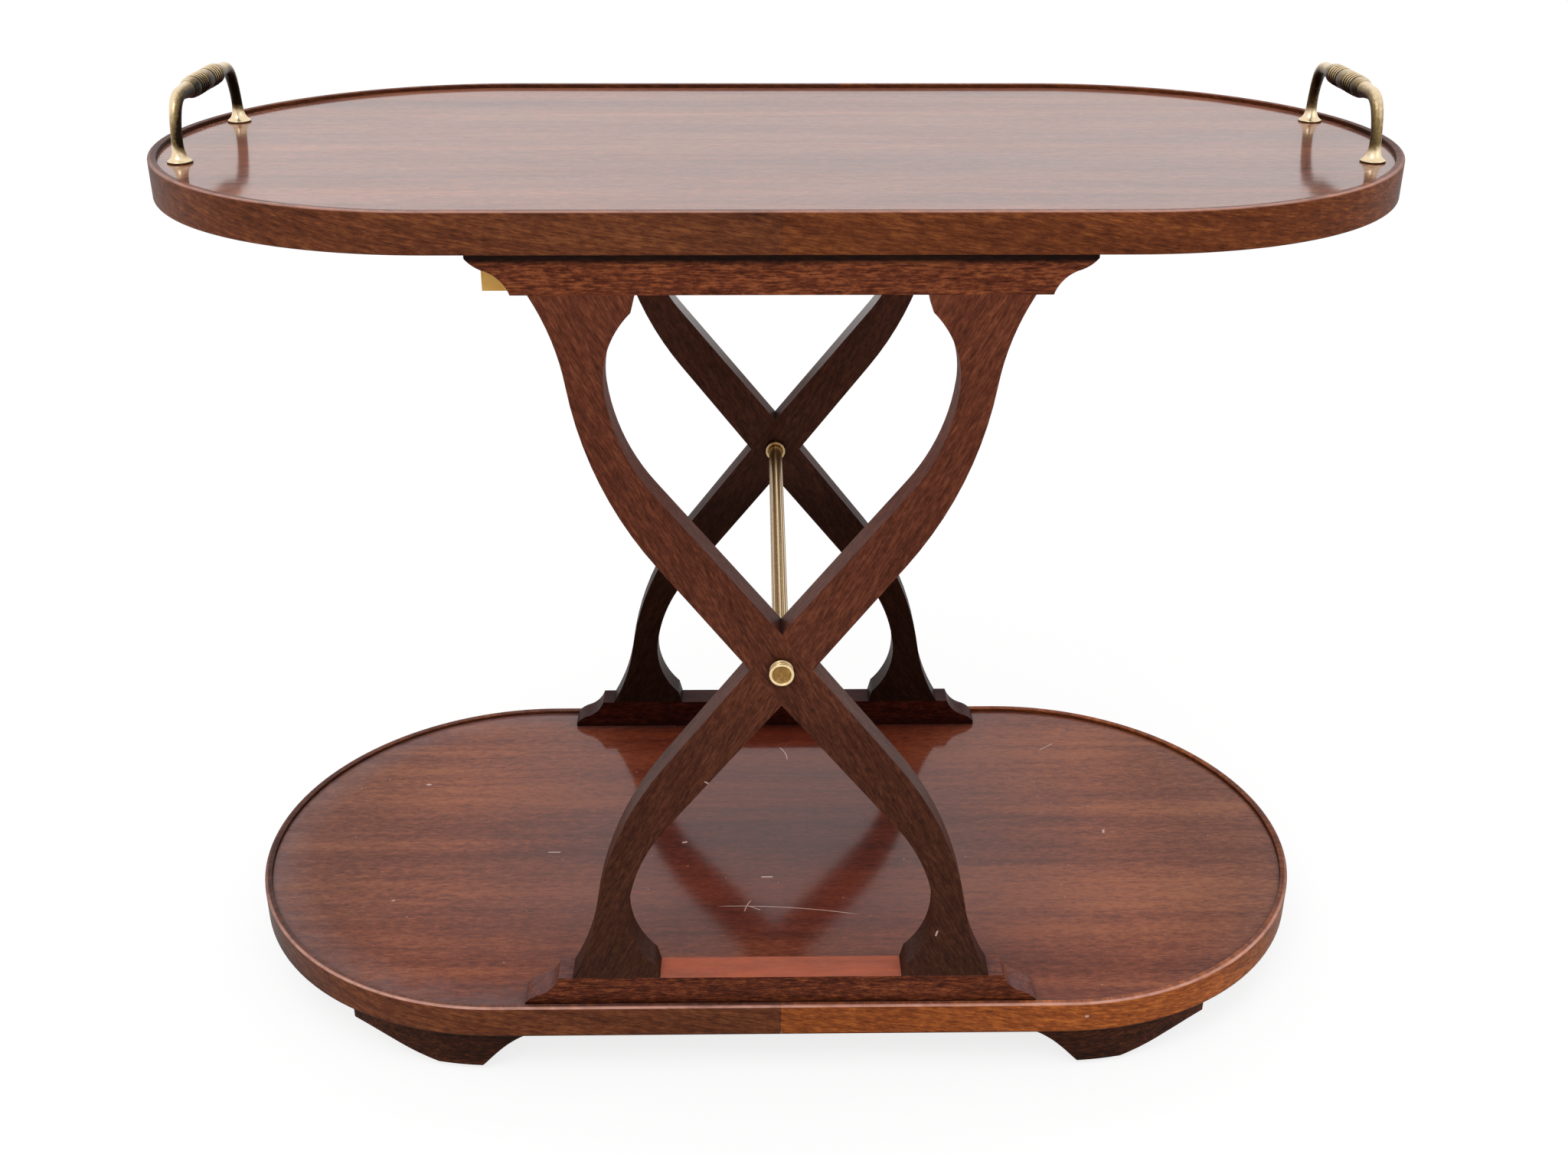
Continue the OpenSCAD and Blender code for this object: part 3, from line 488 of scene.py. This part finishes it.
def lip_shade(tree, place):
    """Painted shade on the lippings: darkest at the ends of the oval, with a painted shadow line along the
    lowest edge; they are also a little darker in the middle.
    """
    x, _, z = xyz(tree, place)
    along = calc(tree, "ABSOLUTE", x)
    middle = span(tree, along, 0.02, 0.22, 0.88, 1.04)
    start = span(tree, z, *LOWER_TO_TOP, ARC_X + 0.55 * TIER_HALF_WIDTH, ARC_X + 0.8 * TIER_HALF_WIDTH)
    ends = span(tree, along, start, ARC_X + 0.97 * TIER_HALF_WIDTH, 1.0, 0.4)
    lowest = span(tree, z, LOWER_RIM_Z + 0.0008, LOWER_RIM_Z + 0.0022, 0.25, 1.0)
    shade = multiply(tree, middle, ends, lowest)
    return add(tree, "CombineColor", {0: shade, 1: shade, 2: shade}).outputs[0]


def right_lip_tone_and_shade(tree, place):
    """The right half of the lower lipping is a lighter, more orange piece of wood, with the painted shade of the
    lippings laid over it.
    """
    _, _, z = xyz(tree, place)
    tier = ramp(tree, span(tree, z, *LOWER_TO_TOP), (0.0, (1.85, 1.75, 1.3, 1)), (1.0, (1.02, 1.0, 0.95, 1)))
    return tint(tree, tier, lip_shade(tree, place))


def lip_crest_highlight(tree, place):
    """A painted highlight on the crest of a lip: pale along the front, fading towards the back, and weaker on
    the top tier.
    """
    _, y, z = xyz(tree, place)
    crest = multiply(tree, facing_up(tree, 0.25, 0.6), span(tree, edge_distance(tree, place), 0.0029, 0.0018))
    front = span(tree, y, -0.02, -0.17, 0.1, 1.0)
    tier = span(tree, z, *LOWER_TO_TOP, 0.8, 0.45)
    uneven = noise(tree, place, (40.0, 40.0, 40.0), detail=4.0, roughness=0.7)
    return multiply(tree, crest, front, tier, span(tree, uneven, 0.35, 0.55, 0.55, 1.0)), LIP_HIGHLIGHT


def rail_worn(tree, place):
    """The front rail's level top is bleached orange between the legs."""
    x, y, _ = xyz(tree, place)
    between = span(tree, calc(tree, "ABSOLUTE", x), 0.118, 0.104)
    front = span(tree, y, *FRONT_TO_BACK, 1.0, 0.0)
    uneven = noise(tree, place, (14.0, 70.0, 70.0), detail=5.0, roughness=0.7)
    patches = span(tree, uneven, 0.36, 0.64, 0.42, 0.78)
    return multiply(tree, facing_up(tree, 0.95, 0.99), between, front, patches), BLEACHED_RAIL


def plain_wood(name, grain, dark, light):
    """Unfinished pale wood: straight grain, no coat."""
    material, tree, output = new_material(name)
    vector = grain(tree)
    lines = noise(tree, vector, (6.0, 210.0, 210.0), detail=4.0, roughness=0.6)
    patches = noise(tree, vector, (4.0, 20.0, 20.0), detail=2.0)
    fine, broad = (ramp(tree, layer, (0.3, dark), (0.7, light)) for layer in (lines, patches))
    bump = add(tree, "Bump", {"Height": lines, "Strength": 0.2, "Distance": 0.0004}).outputs[0]
    colour = mix_colour(tree, 0.5, fine, broad)
    shader_of(tree, output, {"Base Color": colour, "Roughness": 0.62, "Normal": bump})
    return material


def aged_brass(name, bright, olive, black, rub, local_light, above=0.34, outward=0.0):
    """Brass with a painted highlight where it faces up and outwards and painted shade where it faces down:
    bright above, olive at the sides, nearly black below, and darker with patina in its hollows.
    """
    material, tree, output = new_material(name)
    place = object_place(tree)
    x, y, _ = xyz(tree, place)
    cloud = noise(tree, place, (420.0, 420.0, 420.0), detail=5.0, roughness=0.7)
    fleck = noise(tree, place, (1100.0, 1100.0, 1100.0), detail=2.0)
    # Painted highlight on the outer side of each handle, strongest at the front of the left one.
    side = span(tree, x, *LEFT_TO_RIGHT, -outward, 0.3 * outward)
    depth = span(tree, y, -0.02, 0.02, 1.0, 0.15)
    side_highlight = multiply(tree, side, depth, normal_part(tree, 0))
    # Painted highlight where the brass faces up and painted shade where it faces down.
    wear_and_light = calc(tree, "ADD", multiply(tree, normal_part(tree, 2), above), side_highlight)
    wear_and_light = calc(tree, "ADD", wear_and_light, multiply(tree, calc(tree, "SUBTRACT", cloud, 0.5), 0.45))
    hidden = add(tree, "AmbientOcclusion", {"Distance": 0.0025}, samples=8).outputs["AO"]
    wear_and_light = calc(tree, "ADD", wear_and_light, span(tree, hidden, 0.45, 0.9, rub - 0.6, rub))
    wear_and_light = calc(tree, "SUBTRACT", wear_and_light, add(tree, "Attribute", attribute_name="hollow").outputs["Fac"])
    # Each piece's own painted highlights and shade.
    wear_and_light = calc(tree, "ADD", wear_and_light, local_light(tree, place))
    colour = ramp(tree, wear_and_light, (0.02, black), (0.34, olive), (0.66, bright))
    rough = span(tree, wear_and_light, 0.0, 0.8, 0.46, 0.26)
    bump = add(tree, "Bump", {"Height": fleck, "Strength": 0.05, "Distance": 0.0003}).outputs[0]
    shader_of(tree, output, {"Base Color": colour, "Metallic": 1.0, "Roughness": rough, "Normal": bump})
    return material


def rod_light_and_shade(tree, place):
    """Painted light on the rod and knobs: painted shade between the crossings broken by bright streaks of
    painted highlight, and on each knob a darker disc inside a painted highlight round its outside.
    """
    x, y, z = xyz(tree, place)
    radius = distance(tree, x, calc(tree, "SUBTRACT", z, ROD_Z))
    knob = span(tree, radius, 0.0067, 0.007, -0.13, 0.2)
    inner = span(tree, calc(tree, "ABSOLUTE", y), TIER_HALF_WIDTH - 0.008, TIER_HALF_WIDTH - 0.0075, 1.0, 0.0)
    around = add(tree, "CombineXYZ", {0: normal_part(tree, 0), 1: normal_part(tree, 2)}).outputs[0]
    streaks = noise(tree, around, (5.0, 5.0, 5.0), detail=1.0, shift=2.3)
    lined = span(tree, streaks, 0.52, 0.6, -0.45, 0.3)
    outer = calc(tree, "SUBTRACT", 1.0, inner)
    return calc(tree, "ADD", multiply(tree, inner, lined), multiply(tree, outer, knob))


def arm_light_and_shade(tree, place):
    """Painted light on the arms: a painted highlight on the feet, painted shade on the arms above them, and
    nothing higher up, where a hand holds them.
    """
    x, _, z = xyz(tree, place)
    foot = span(tree, z, TOP_Z + 0.007, TOP_Z + 0.013, 0.3, 0.0)
    above_foot = span(tree, z, TOP_Z + 0.009, TOP_Z + 0.014)
    below_bend = span(tree, z, TOP_Z + 0.036, TOP_Z + 0.02)
    shaft = multiply(tree, above_foot, below_bend, span(tree, x, *LEFT_TO_RIGHT, 0.2, 0.06))
    return calc(tree, "SUBTRACT", foot, shaft)


def steel(name, bright, dull):
    """Plated steel with patches of dull plating, and painted shade that makes it darker and duller in its
    corners.
    """
    material, tree, output = new_material(name)
    place = object_place(tree)
    cloud = noise(tree, place, (60.0, 60.0, 60.0), detail=6.0, roughness=0.7)
    hidden = add(tree, "AmbientOcclusion", {"Distance": 0.006}, samples=8).outputs["AO"]
    patches = span(tree, cloud, 0.38, 0.66, 0.0, 0.5)
    corners = span(tree, hidden, 0.3, 0.9, 0.8, 0.0)
    dullness_and_shade = calc(tree, "ADD", patches, corners, clamp=True)
    colour = mix_colour(tree, dullness_and_shade, bright, dull)
    rough = span(tree, dullness_and_shade, 0.0, 1.0, 0.26, 0.5)
    shader_of(tree, output, {"Base Color": colour, "Metallic": 1.0, "Roughness": rough})
    return material


def nylon(name):
    """Black moulded wheel with a finely scuffed tread."""
    material, tree, output = new_material(name)
    scuffs = noise(tree, object_place(tree), (500.0, 500.0, 500.0), detail=4.0)
    colour = ramp(tree, scuffs, (0.35, srgb(24, 23, 22)), (0.75, srgb(66, 62, 58)))
    bump = add(tree, "Bump", {"Height": scuffs, "Strength": 0.15, "Distance": 0.0003}).outputs[0]
    shader_of(tree, output, {"Base Color": colour, "Roughness": 0.55, "Normal": bump})
    return material


def make_materials():
    """One material for each of the record's slots, and one for the lower board's duller polish."""
    nick = front_marks(((-0.0527, 0.265), -32, 0.0075, 0.0013))
    drip = front_marks(((0.1185, 0.129), 75, 0.0055, 0.0018))
    splash = front_marks(((0.2386, 0.0522), 0, 0.0032, 0.003))
    frame_polish = dict(coat_rough=0.25, level=0.03, corner_shade=0.8)
    lip = dict(fine=0.85, broad=0.5, coat=lip_coat, coat_rough=0.2, level=0.04, dust=0.2, wear_and_highlight=lip_crest_highlight)
    leg = dict(dark=srgb(72, 34, 22), mid=srgb(102, 52, 35), light=srgb(136, 75, 51), broad=0.35,
               coat=leg_coat, dust=0.14, colour_and_shade=leg_tone_and_shade, **frame_polish)
    return {
        "mahogany_board": mahogany(
            "mahogany_board", straight_grain,
            srgb(104, 52, 37), srgb(141, 79, 57), srgb(174, 106, 72), fine=0.9, broad=1.1,
            coat=top_coat, coat_rough=0.1, colour_and_shade=top_fade, marks=top_board_marks),
        "lower_board": mahogany(
            "mahogany_lower_board", straight_grain,
            srgb(100, 50, 36), srgb(136, 76, 56), srgb(168, 102, 70), broad=1.3,
            coat=lower_coat, coat_rough=0.11, level=0.06, wear_and_highlight=lower_haze, colour_and_shade=lower_board_shade,
            marks=lower_board_marks),
        "mahogany_lipping_left": mahogany(
            "mahogany_lipping_left", rim_grain,
            srgb(66, 31, 19), srgb(104, 55, 33), srgb(146, 86, 50), colour_and_shade=lip_shade, **lip),
        "mahogany_lipping_right": mahogany(
            "mahogany_lipping_right", rim_grain,
            srgb(74, 34, 18), srgb(114, 59, 32), srgb(158, 92, 48), colour_and_shade=right_lip_tone_and_shade, marks=splash, **lip),
        "mahogany_rail": mahogany(
            "mahogany_rail", straight_grain,
            srgb(60, 25, 15), srgb(104, 50, 31), srgb(158, 88, 52), fine=1.15, broad=0.6,
            coat=0.06, dust=rail_dust_and_sheen, wear_and_highlight=rail_worn, colour_and_shade=rail_shade, **frame_polish),
        "mahogany_leg_left": mahogany(
            "mahogany_leg_left", lambda tree: straight_grain(tree, -LEG_GRAIN_LEAN), marks=drip, **leg),
        "mahogany_leg_right": mahogany(
            "mahogany_leg_right", lambda tree: straight_grain(tree, LEG_GRAIN_LEAN), marks=nick, **leg),
        "mahogany_foot": mahogany(
            "mahogany_foot", straight_grain,
            srgb(34, 15, 8), srgb(62, 31, 18), srgb(94, 50, 28), fine=1.3, coat=0.05, level=0.03),
        "pale_wood": plain_wood(
            "pale_wood", lambda tree: straight_grain(tree, 90.0, "Z"),
            srgb(252, 180, 74), srgb(255, 214, 116)),
        "dowel_wood": plain_wood(
            "dowel_wood", lambda tree: straight_grain(tree, 90.0),
            srgb(190, 146, 90), srgb(220, 180, 124)),
        "brass_rod": aged_brass(
            "brass_rod", srgb(238, 210, 162), srgb(146, 109, 58), srgb(36, 27, 18),
            rub=0.46, local_light=rod_light_and_shade),
        "brass_handle": aged_brass(
            "brass_handle", srgb(244, 220, 182), srgb(132, 110, 74), srgb(34, 26, 17),
            rub=0.25, local_light=arm_light_and_shade, above=0.47, outward=0.36),
        "screw_steel": steel("screw_steel", srgb(190, 190, 186), srgb(120, 116, 108)),
        "castor_steel": steel("castor_steel", srgb(200, 200, 196), srgb(132, 128, 118)),
        "wheel_nylon": nylon("wheel_nylon"),
    }


def soften(node, width):
    """Rounded edges on a piece of woodwork, made by modifiers, so its mesh stays as it is."""
    weld = node.modifiers.new("weld", "WELD")
    weld.merge_threshold = 0.000004
    bevel = node.modifiers.new("edges", "BEVEL")
    bevel.width = width
    bevel.segments = 2
    bevel.limit_method = "ANGLE"
    bevel.angle_limit = math.radians(35)
    bevel.miter_outer = "MITER_ARC"
    normals = node.modifiers.new("normals", "WEIGHTED_NORMAL")
    normals.mode = "FACE_AREA"
    normals.weight = 60


def dress_nodes(materials):
    """Gives every CAD node the material of its slot, and rounded edges to the woodwork."""
    slots = {part["node"]: part["material_slot"] for part in frame["record"]["subparts"]}
    for name, node in NODES.items():
        material = materials["lower_board" if name == "lower_board" else slots[name]]
        node.data.materials.clear()
        node.data.materials.append(material)
        if "mahogany" in slots[name] and "board" not in name:
            soften(node, 0.0003 if "_leg_" in name else 0.0005)


# Closed pieces

def mesh_piece(name, rings, material, slot, *replaced, smooth=True, hollows=None):
    """A closed piece through rings of points, in place of CAD nodes.

    hollows says for each ring how sheltered it is from wear.
    """
    count = len(rings[0])
    points = [point for ring in rings for point in ring]
    faces = [tuple(range(count))[::-1], tuple(range((len(rings) - 1) * count, len(rings) * count))]
    for i in range(len(rings) - 1):
        for j in range(count):
            k = (j + 1) % count
            faces.append((i * count + j, i * count + k, (i + 1) * count + k, (i + 1) * count + j))
    mesh = bpy.data.meshes.new(name)
    mesh.from_pydata([tuple(point) for point in points], [], faces)
    mesh.validate()
    for face in mesh.polygons:
        face.use_smooth = smooth and len(face.vertices) == 4
    mesh.materials.append(material)
    if hollows:
        depth = mesh.attributes.new("hollow", "FLOAT", "POINT")
        depth.data.foreach_set("value", [hollow for hollow in hollows for _ in range(count)])
    piece = bpy.data.objects.new(name, mesh)
    bpy.context.scene.collection.objects.link(piece)
    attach(piece, "trolley")
    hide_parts(*replaced)


def round_angles(sides):
    """Evenly spaced angles round a circle."""
    return [2 * math.pi * j / sides for j in range(sides)]


def bead(middle, base, radius, steps):
    """A half-round bead of a turned profile, as (distance, radius) points."""
    turns = [math.pi / 2 * t / steps for t in range(-steps, steps + 1)]
    return [(middle + radius * math.sin(a), base + radius * math.cos(a)) for a in turns]


# Handles: how far an arm runs on inside the grip, and the grooves between the grip's rings (millimetres)
HIDDEN_END = 2.0
GROOVE_R = 6.2


def value_at(stops, s):
    """The value at s on the straight lines through (s, value) stops."""
    for (s0, v0), (s1, v1) in zip(stops, stops[1:]):
        if s <= s1:
            t = max(0.0, (s - s0) / (s1 - s0))
            return v0 + (v1 - v0) * t
    return stops[-1][1]


def arm_path():
    """Centre line of one arm in millimetres, as (towards the grip, up) points, and its length to each."""
    lean, bend_r, straight = math.radians(28.0), 18.0, 9.5
    grip_up = (GRIP_Z - TOP_Z) * 1000
    reach_end = (FOOT_Y - GRIP_HALF) * 1000
    low_r = (grip_up - straight - bend_r * (1 - math.sin(lean))) / math.sin(lean)
    reach = low_r * (1 - math.cos(lean)) + bend_r * math.cos(lean)
    points = [(0.0, s) for s in (0.0, 0.2, 0.4, 1.2, 1.5, 1.7, 1.95, 2.3, 2.8, 3.5, 4.3, 5.2, 6.2, 7.3, 8.4)]
    for i in range(14):
        a = lean * i / 14
        points.append((low_r * (1 - math.cos(a)), straight + low_r * math.sin(a)))
    for i in range(17):
        a = math.pi - lean - (math.pi / 2 - lean) * i / 16
        points.append((reach + bend_r * math.cos(a), grip_up - bend_r + bend_r * math.sin(a)))
    points += [(reach + (reach_end + HIDDEN_END - reach) * i / 10, grip_up) for i in range(1, 11)]
    runs = [0.0]
    for a, b in zip(points, points[1:]):
        runs.append(runs[-1] + math.dist(a, b))
    return points, runs


def handle_arm(name, x, side, material):
    """One swept arm: flange, bell foot, slender neck, and a flare that runs into the grip."""
    points, runs = arm_path()
    end = runs[-1] - HIDDEN_END
    radii = [
        (0.0, 8.5), (0.2, 8.7), (0.4, 8.75), (1.2, 8.75), (1.5, 8.6), (1.7, 8.2), (1.95, 7.75), (2.3, 7.3),
        (2.8, 6.75), (3.5, 6.1), (4.3, 5.6), (5.2, 5.15), (6.2, 4.8), (7.3, 4.5), (8.4, 4.3), (11.0, 4.0),
        (15.0, 3.9), (21.0, 3.85), (28.0, 4.0), (36.0, 4.25), (46.0, 4.5),
        (end - 12, 4.75), (end - 7, 5.1), (end - 3, 5.5), (end, 5.8), (end + HIDDEN_END, 5.6),
    ]
    rings = []
    for i, (reach, up) in enumerate(points):
        before, after = points[max(i - 1, 0)], points[min(i + 1, len(points) - 1)]
        along = Vector((0, after[0] - before[0], after[1] - before[1])).normalized()
        across = Vector((0, along.z, -along.y))
        r = value_at(radii, runs[i])
        ring = []
        for a in round_angles(48):
            offset = Vector((math.cos(a), 0, 0)) * r + across * math.sin(a) * r
            y = side * (FOOT_Y - (reach + offset.y) / 1000)
            ring.append(Vector((x + offset.x / 1000, y, TOP_Z + (up + offset.z) / 1000)))
        rings.append(ring if side < 0 else ring[::-1])
    place = ("left" if x < 0 else "right") + "_handle_" + ("front" if side < 0 else "back") + "_post"
    mesh_piece(name, rings, material, "brass_handle", place)


def grip_profile():
    """Half of the grip in millimetres, as (distance from its middle, radius): belly, four rings, end bead."""
    profile = [(0.0, 7.45), (2.5, 7.42), (5.0, 7.3), (6.6, 7.12), (7.2, 6.75)]
    for ring in range(4):
        middle = 7.4 + 4.4 * (ring + 0.5)
        profile += bead(middle, 6.3, 1.25, 4)
        profile.append((middle + 2.2, GROOVE_R))
    profile += [(25.2, 6.7), (25.6, 7.0), (26.4, 7.2), (27.6, 7.32), (29.0, 7.3), (30.6, 7.12), (32.2, 6.8),
                (34.0, 6.38), (35.6, 6.02), (GRIP_HALF * 1000, 5.8)]
    return profile


def grip_hollow(along, r):
    """How sheltered a place on the grip is: most in the grooves between the rings, hardly on the belly."""
    ringed = 7.2 < abs(along) < 25.1
    return 0.75 - 0.85 * min(1.0, max(0.0, (r - GROOVE_R) / 1.2)) if ringed else 0.14


def handle_grip(name, x, material):
    """One turned grip, along y: both its halves have the same profile."""
    half = grip_profile()
    profile = [(-s, r) for s, r in half[:0:-1]] + half
    rings = []
    for along, r in profile:
        circle = [(r / 1000 * math.cos(a), r / 1000 * math.sin(a)) for a in round_angles(64)]
        rings.append([(x + across, along / 1000, GRIP_Z - up) for across, up in circle])
    hollows = [grip_hollow(along, r) for along, r in profile]
    place = ("left" if x < 0 else "right") + "_handle_grip"
    mesh_piece(name, rings, material, "brass_handle", place, hollows=hollows)


def handles(material):
    for label, x in (("left", -HANDLE_X), ("right", HANDLE_X)):
        handle_arm(label + "_front_arm", x, -1, material)
        handle_arm(label + "_back_arm", x, 1, material)
        handle_grip(label + "_ringed_grip", x, material)


# Knobs

def knob_profile():
    """A knob in millimetres, as (distance out from the leg, radius): blind bore, beads, lip, dished face."""
    out = (KNOB_HIGH.y - KNOB_LOW.y) * 1000
    outer = KNOB_HIGH.x * 1000
    bore_r = 4.05
    profile = [(out - 1.3, bore_r), (0.0, bore_r), (0.0, outer - 0.7)]
    for middle in (1.0, 2.9, 4.8):
        profile += bead(middle, outer - 0.95, 0.85, 3)
    face = [(1.65, 0.8), (1.4, 0.35), (1.1, 0.1), (0.7, 0.05), (0.35, 0.2), (0.1, 0.5),
            (0.0, 0.85), (0.0, 1.45), (0.08, 1.7), (0.3, 1.9), (0.42, 2.1), (0.5, 2.6)]
    profile += [(out - back, outer - inward) for back, inward in face]
    return profile + [(out - 0.5, 2.0)]


def knobs(material):
    """The turned ends of the rod, outside each crossing."""
    for name, y_side in (("front", -1), ("back", 1)):
        rings = []
        for out, r in knob_profile():
            y = y_side * (out / 1000 - KNOB_HIGH.y)
            circle = [(r / 1000 * math.cos(a), y_side * r / 1000 * math.sin(a)) for a in round_angles(64)]
            rings.append([(across, y, ROD_Z - up) for across, up in circle])
        mesh_piece(name + "_beaded_knob", rings, material, "brass_rod", name + "_knob")


# Bracket feet

def bracket_foot(name, x_side, y_side, material):
    """A foot that follows the rim: hollow at its inner end, level below, rising to a short outer end."""
    thick, clearance = 20.0, 0.05
    rim_r, high = BRACKET_R * 1000, BRACKET_H * 1000
    inner = [(-25.0, 31.6), (-22.5, 30.8), (-20.0, 29.8), (-17.0, 28.3), (-14.0, 26.5), (-10.5, 24.1),
             (-7.0, 21.5), (-3.5, 18.5), (0.0, 15.2), (3.0, 12.2), (6.0, 9.0), (9.0, 5.7), (11.5, 2.9),
             (14.4, 0.0)]
    level = [(14.4 + 35.6 * i / 9, 0.0) for i in range(1, 10)]
    outer = [(54.0, 1.1), (58.0, 2.3), (62.0, 3.6), (66.0, 4.8), (71.0, 6.5), (76.0, 8.2), (81.0, 10.0),
             (86.0, 11.8), (91.0, 13.5), (96.0, 15.0), (101.0, 16.4), (106.0, 17.7), (111.0, 18.8),
             (116.0, 19.7), (121.0, 20.4), (126.5, 21.0)]
    rings = []
    for run, low in inner + level + outer:
        turn = max(run, 0.0) / rim_r
        top, edge = high - clearance, min(0.7, (high - low) / 4)
        section = [(0, low + edge), (0, top), (thick, top),
                   (thick, low + edge), (thick - edge, low), (edge, low)]
        ring = []
        for depth, z in section:
            r = rim_r - depth
            x = ARC_X * 1000 + min(run, 0.0) + r * math.sin(turn)
            ring.append(Vector((x_side * x, y_side * r * math.cos(turn), BRACKET_LOW.z * 1000 + z)) / 1000)
        rings.append(ring if x_side * y_side > 0 else ring[::-1])
    node = ("front" if y_side < 0 else "back") + ("_left" if x_side < 0 else "_right") + "_foot"
    mesh_piece(name, rings, material, "mahogany_foot", node, smooth=False)


def bracket_feet(material):
    for front, y_side in (("front", -1), ("back", 1)):
        for side, x_side in (("left", -1), ("right", 1)):
            bracket_foot(f"{front}_{side}_bracket", x_side, y_side, material)


# Studio

def seen_directly(tree):
    """1 for the rays of the camera, of gloss and of glass, 0 for the light that falls on things."""
    rays = add(tree, "LightPath")
    seen = calc(tree, "MAXIMUM", rays.outputs["Is Camera Ray"], rays.outputs["Is Glossy Ray"])
    return calc(tree, "MAXIMUM", seen, rays.outputs["Is Transmission Ray"])


def world_light():
    """A pale world: a plain overhead light, and white where the camera, gloss and glass look."""
    world = bpy.data.worlds.new("studio")
    bpy.context.scene.world = world
    world.use_nodes = True
    tree = world.node_tree
    tree.nodes.clear()
    output = tree.nodes.new("ShaderNodeOutputWorld")
    _, _, height = xyz(tree, add(tree, "TexCoord").outputs["Generated"])
    strength = span(tree, height, 0.0, 1.0, HORIZON_LIGHT, ZENITH_LIGHT)
    lighting = add(tree, "Background", {"Color": WHITE, "Strength": strength}).outputs[0]
    backdrop = add(tree, "Background", {"Color": WHITE, "Strength": 1.0}).outputs[0]
    mixed = add(tree, "MixShader", {0: seen_directly(tree), 1: lighting, 2: backdrop}).outputs[0]
    tree.links.new(mixed, output.inputs[0])


def area_light(name, place, size, power):
    """A square lamp that looks at the middle of the trolley."""
    data = bpy.data.lights.new(name, "AREA")
    data.shape = "RECTANGLE"
    data.size, data.size_y = size, size
    data.energy = power
    lamp = bpy.data.objects.new(name, data)
    lamp.location = place
    lamp.rotation_euler = (Vector(LIT_POINT) - Vector(place)).to_track_quat("-Z", "Y").to_euler()
    bpy.context.scene.collection.objects.link(lamp)


def floor():
    """A pale floor that runs to the horizon: it looks white and keeps the object's shadow."""
    mesh = bpy.data.meshes.new("floor")
    half = 30.0
    corners = [(-half, -half, 0), (half, -half, 0), (half, half, 0), (-half, half, 0)]
    mesh.from_pydata(corners, [], [(0, 1, 2, 3)])
    plane = bpy.data.objects.new("floor", mesh)
    bpy.context.scene.collection.objects.link(plane)
    material, tree, output = new_material("floor")
    matt = add(tree, "BsdfDiffuse", {"Color": FLOOR_GREY}).outputs[0]
    glow = add(tree, "Emission", {"Color": WHITE, "Strength": FLOOR_GLOW}).outputs[0]
    pale = add(tree, "MixShader", {0: FLOOR_GLOW_SHARE, 1: matt, 2: glow}).outputs[0]
    mixed = add(tree, "MixShader", {0: seen_directly(tree), 1: matt, 2: pale}).outputs[0]
    tree.links.new(mixed, output.inputs[0])
    mesh.materials.append(material)


def camera():
    data = bpy.data.cameras.new("camera")
    data.lens = LENS_MM
    data.sensor_width = 36.0
    data.clip_end = 100.0
    eye = bpy.data.objects.new("camera", data)
    pitch = Matrix.Rotation(math.radians(90 - PITCH_DOWN), 4, "X")
    turn = Matrix.Rotation(math.radians(-YAW_RIGHT), 4, "Z") @ pitch
    eye.matrix_world = Matrix.Translation(CAMERA_AT) @ turn @ Matrix.Rotation(math.radians(ROLL), 4, "Z")
    bpy.context.scene.collection.objects.link(eye)
    bpy.context.scene.camera = eye


camera()
world_light()
area_light("key", (-1.1, -1.9, 3.0), size=1.4, power=22)
area_light("fill", (2.2, -1.6, 1.6), size=2.0, power=6)
floor()
MATERIALS = make_materials()
dress_nodes(MATERIALS)
handles(MATERIALS["brass_handle"])
knobs(MATERIALS["brass_rod"])
bracket_feet(MATERIALS["mahogany_foot"])

bpy.context.scene.view_settings.view_transform = "Standard"
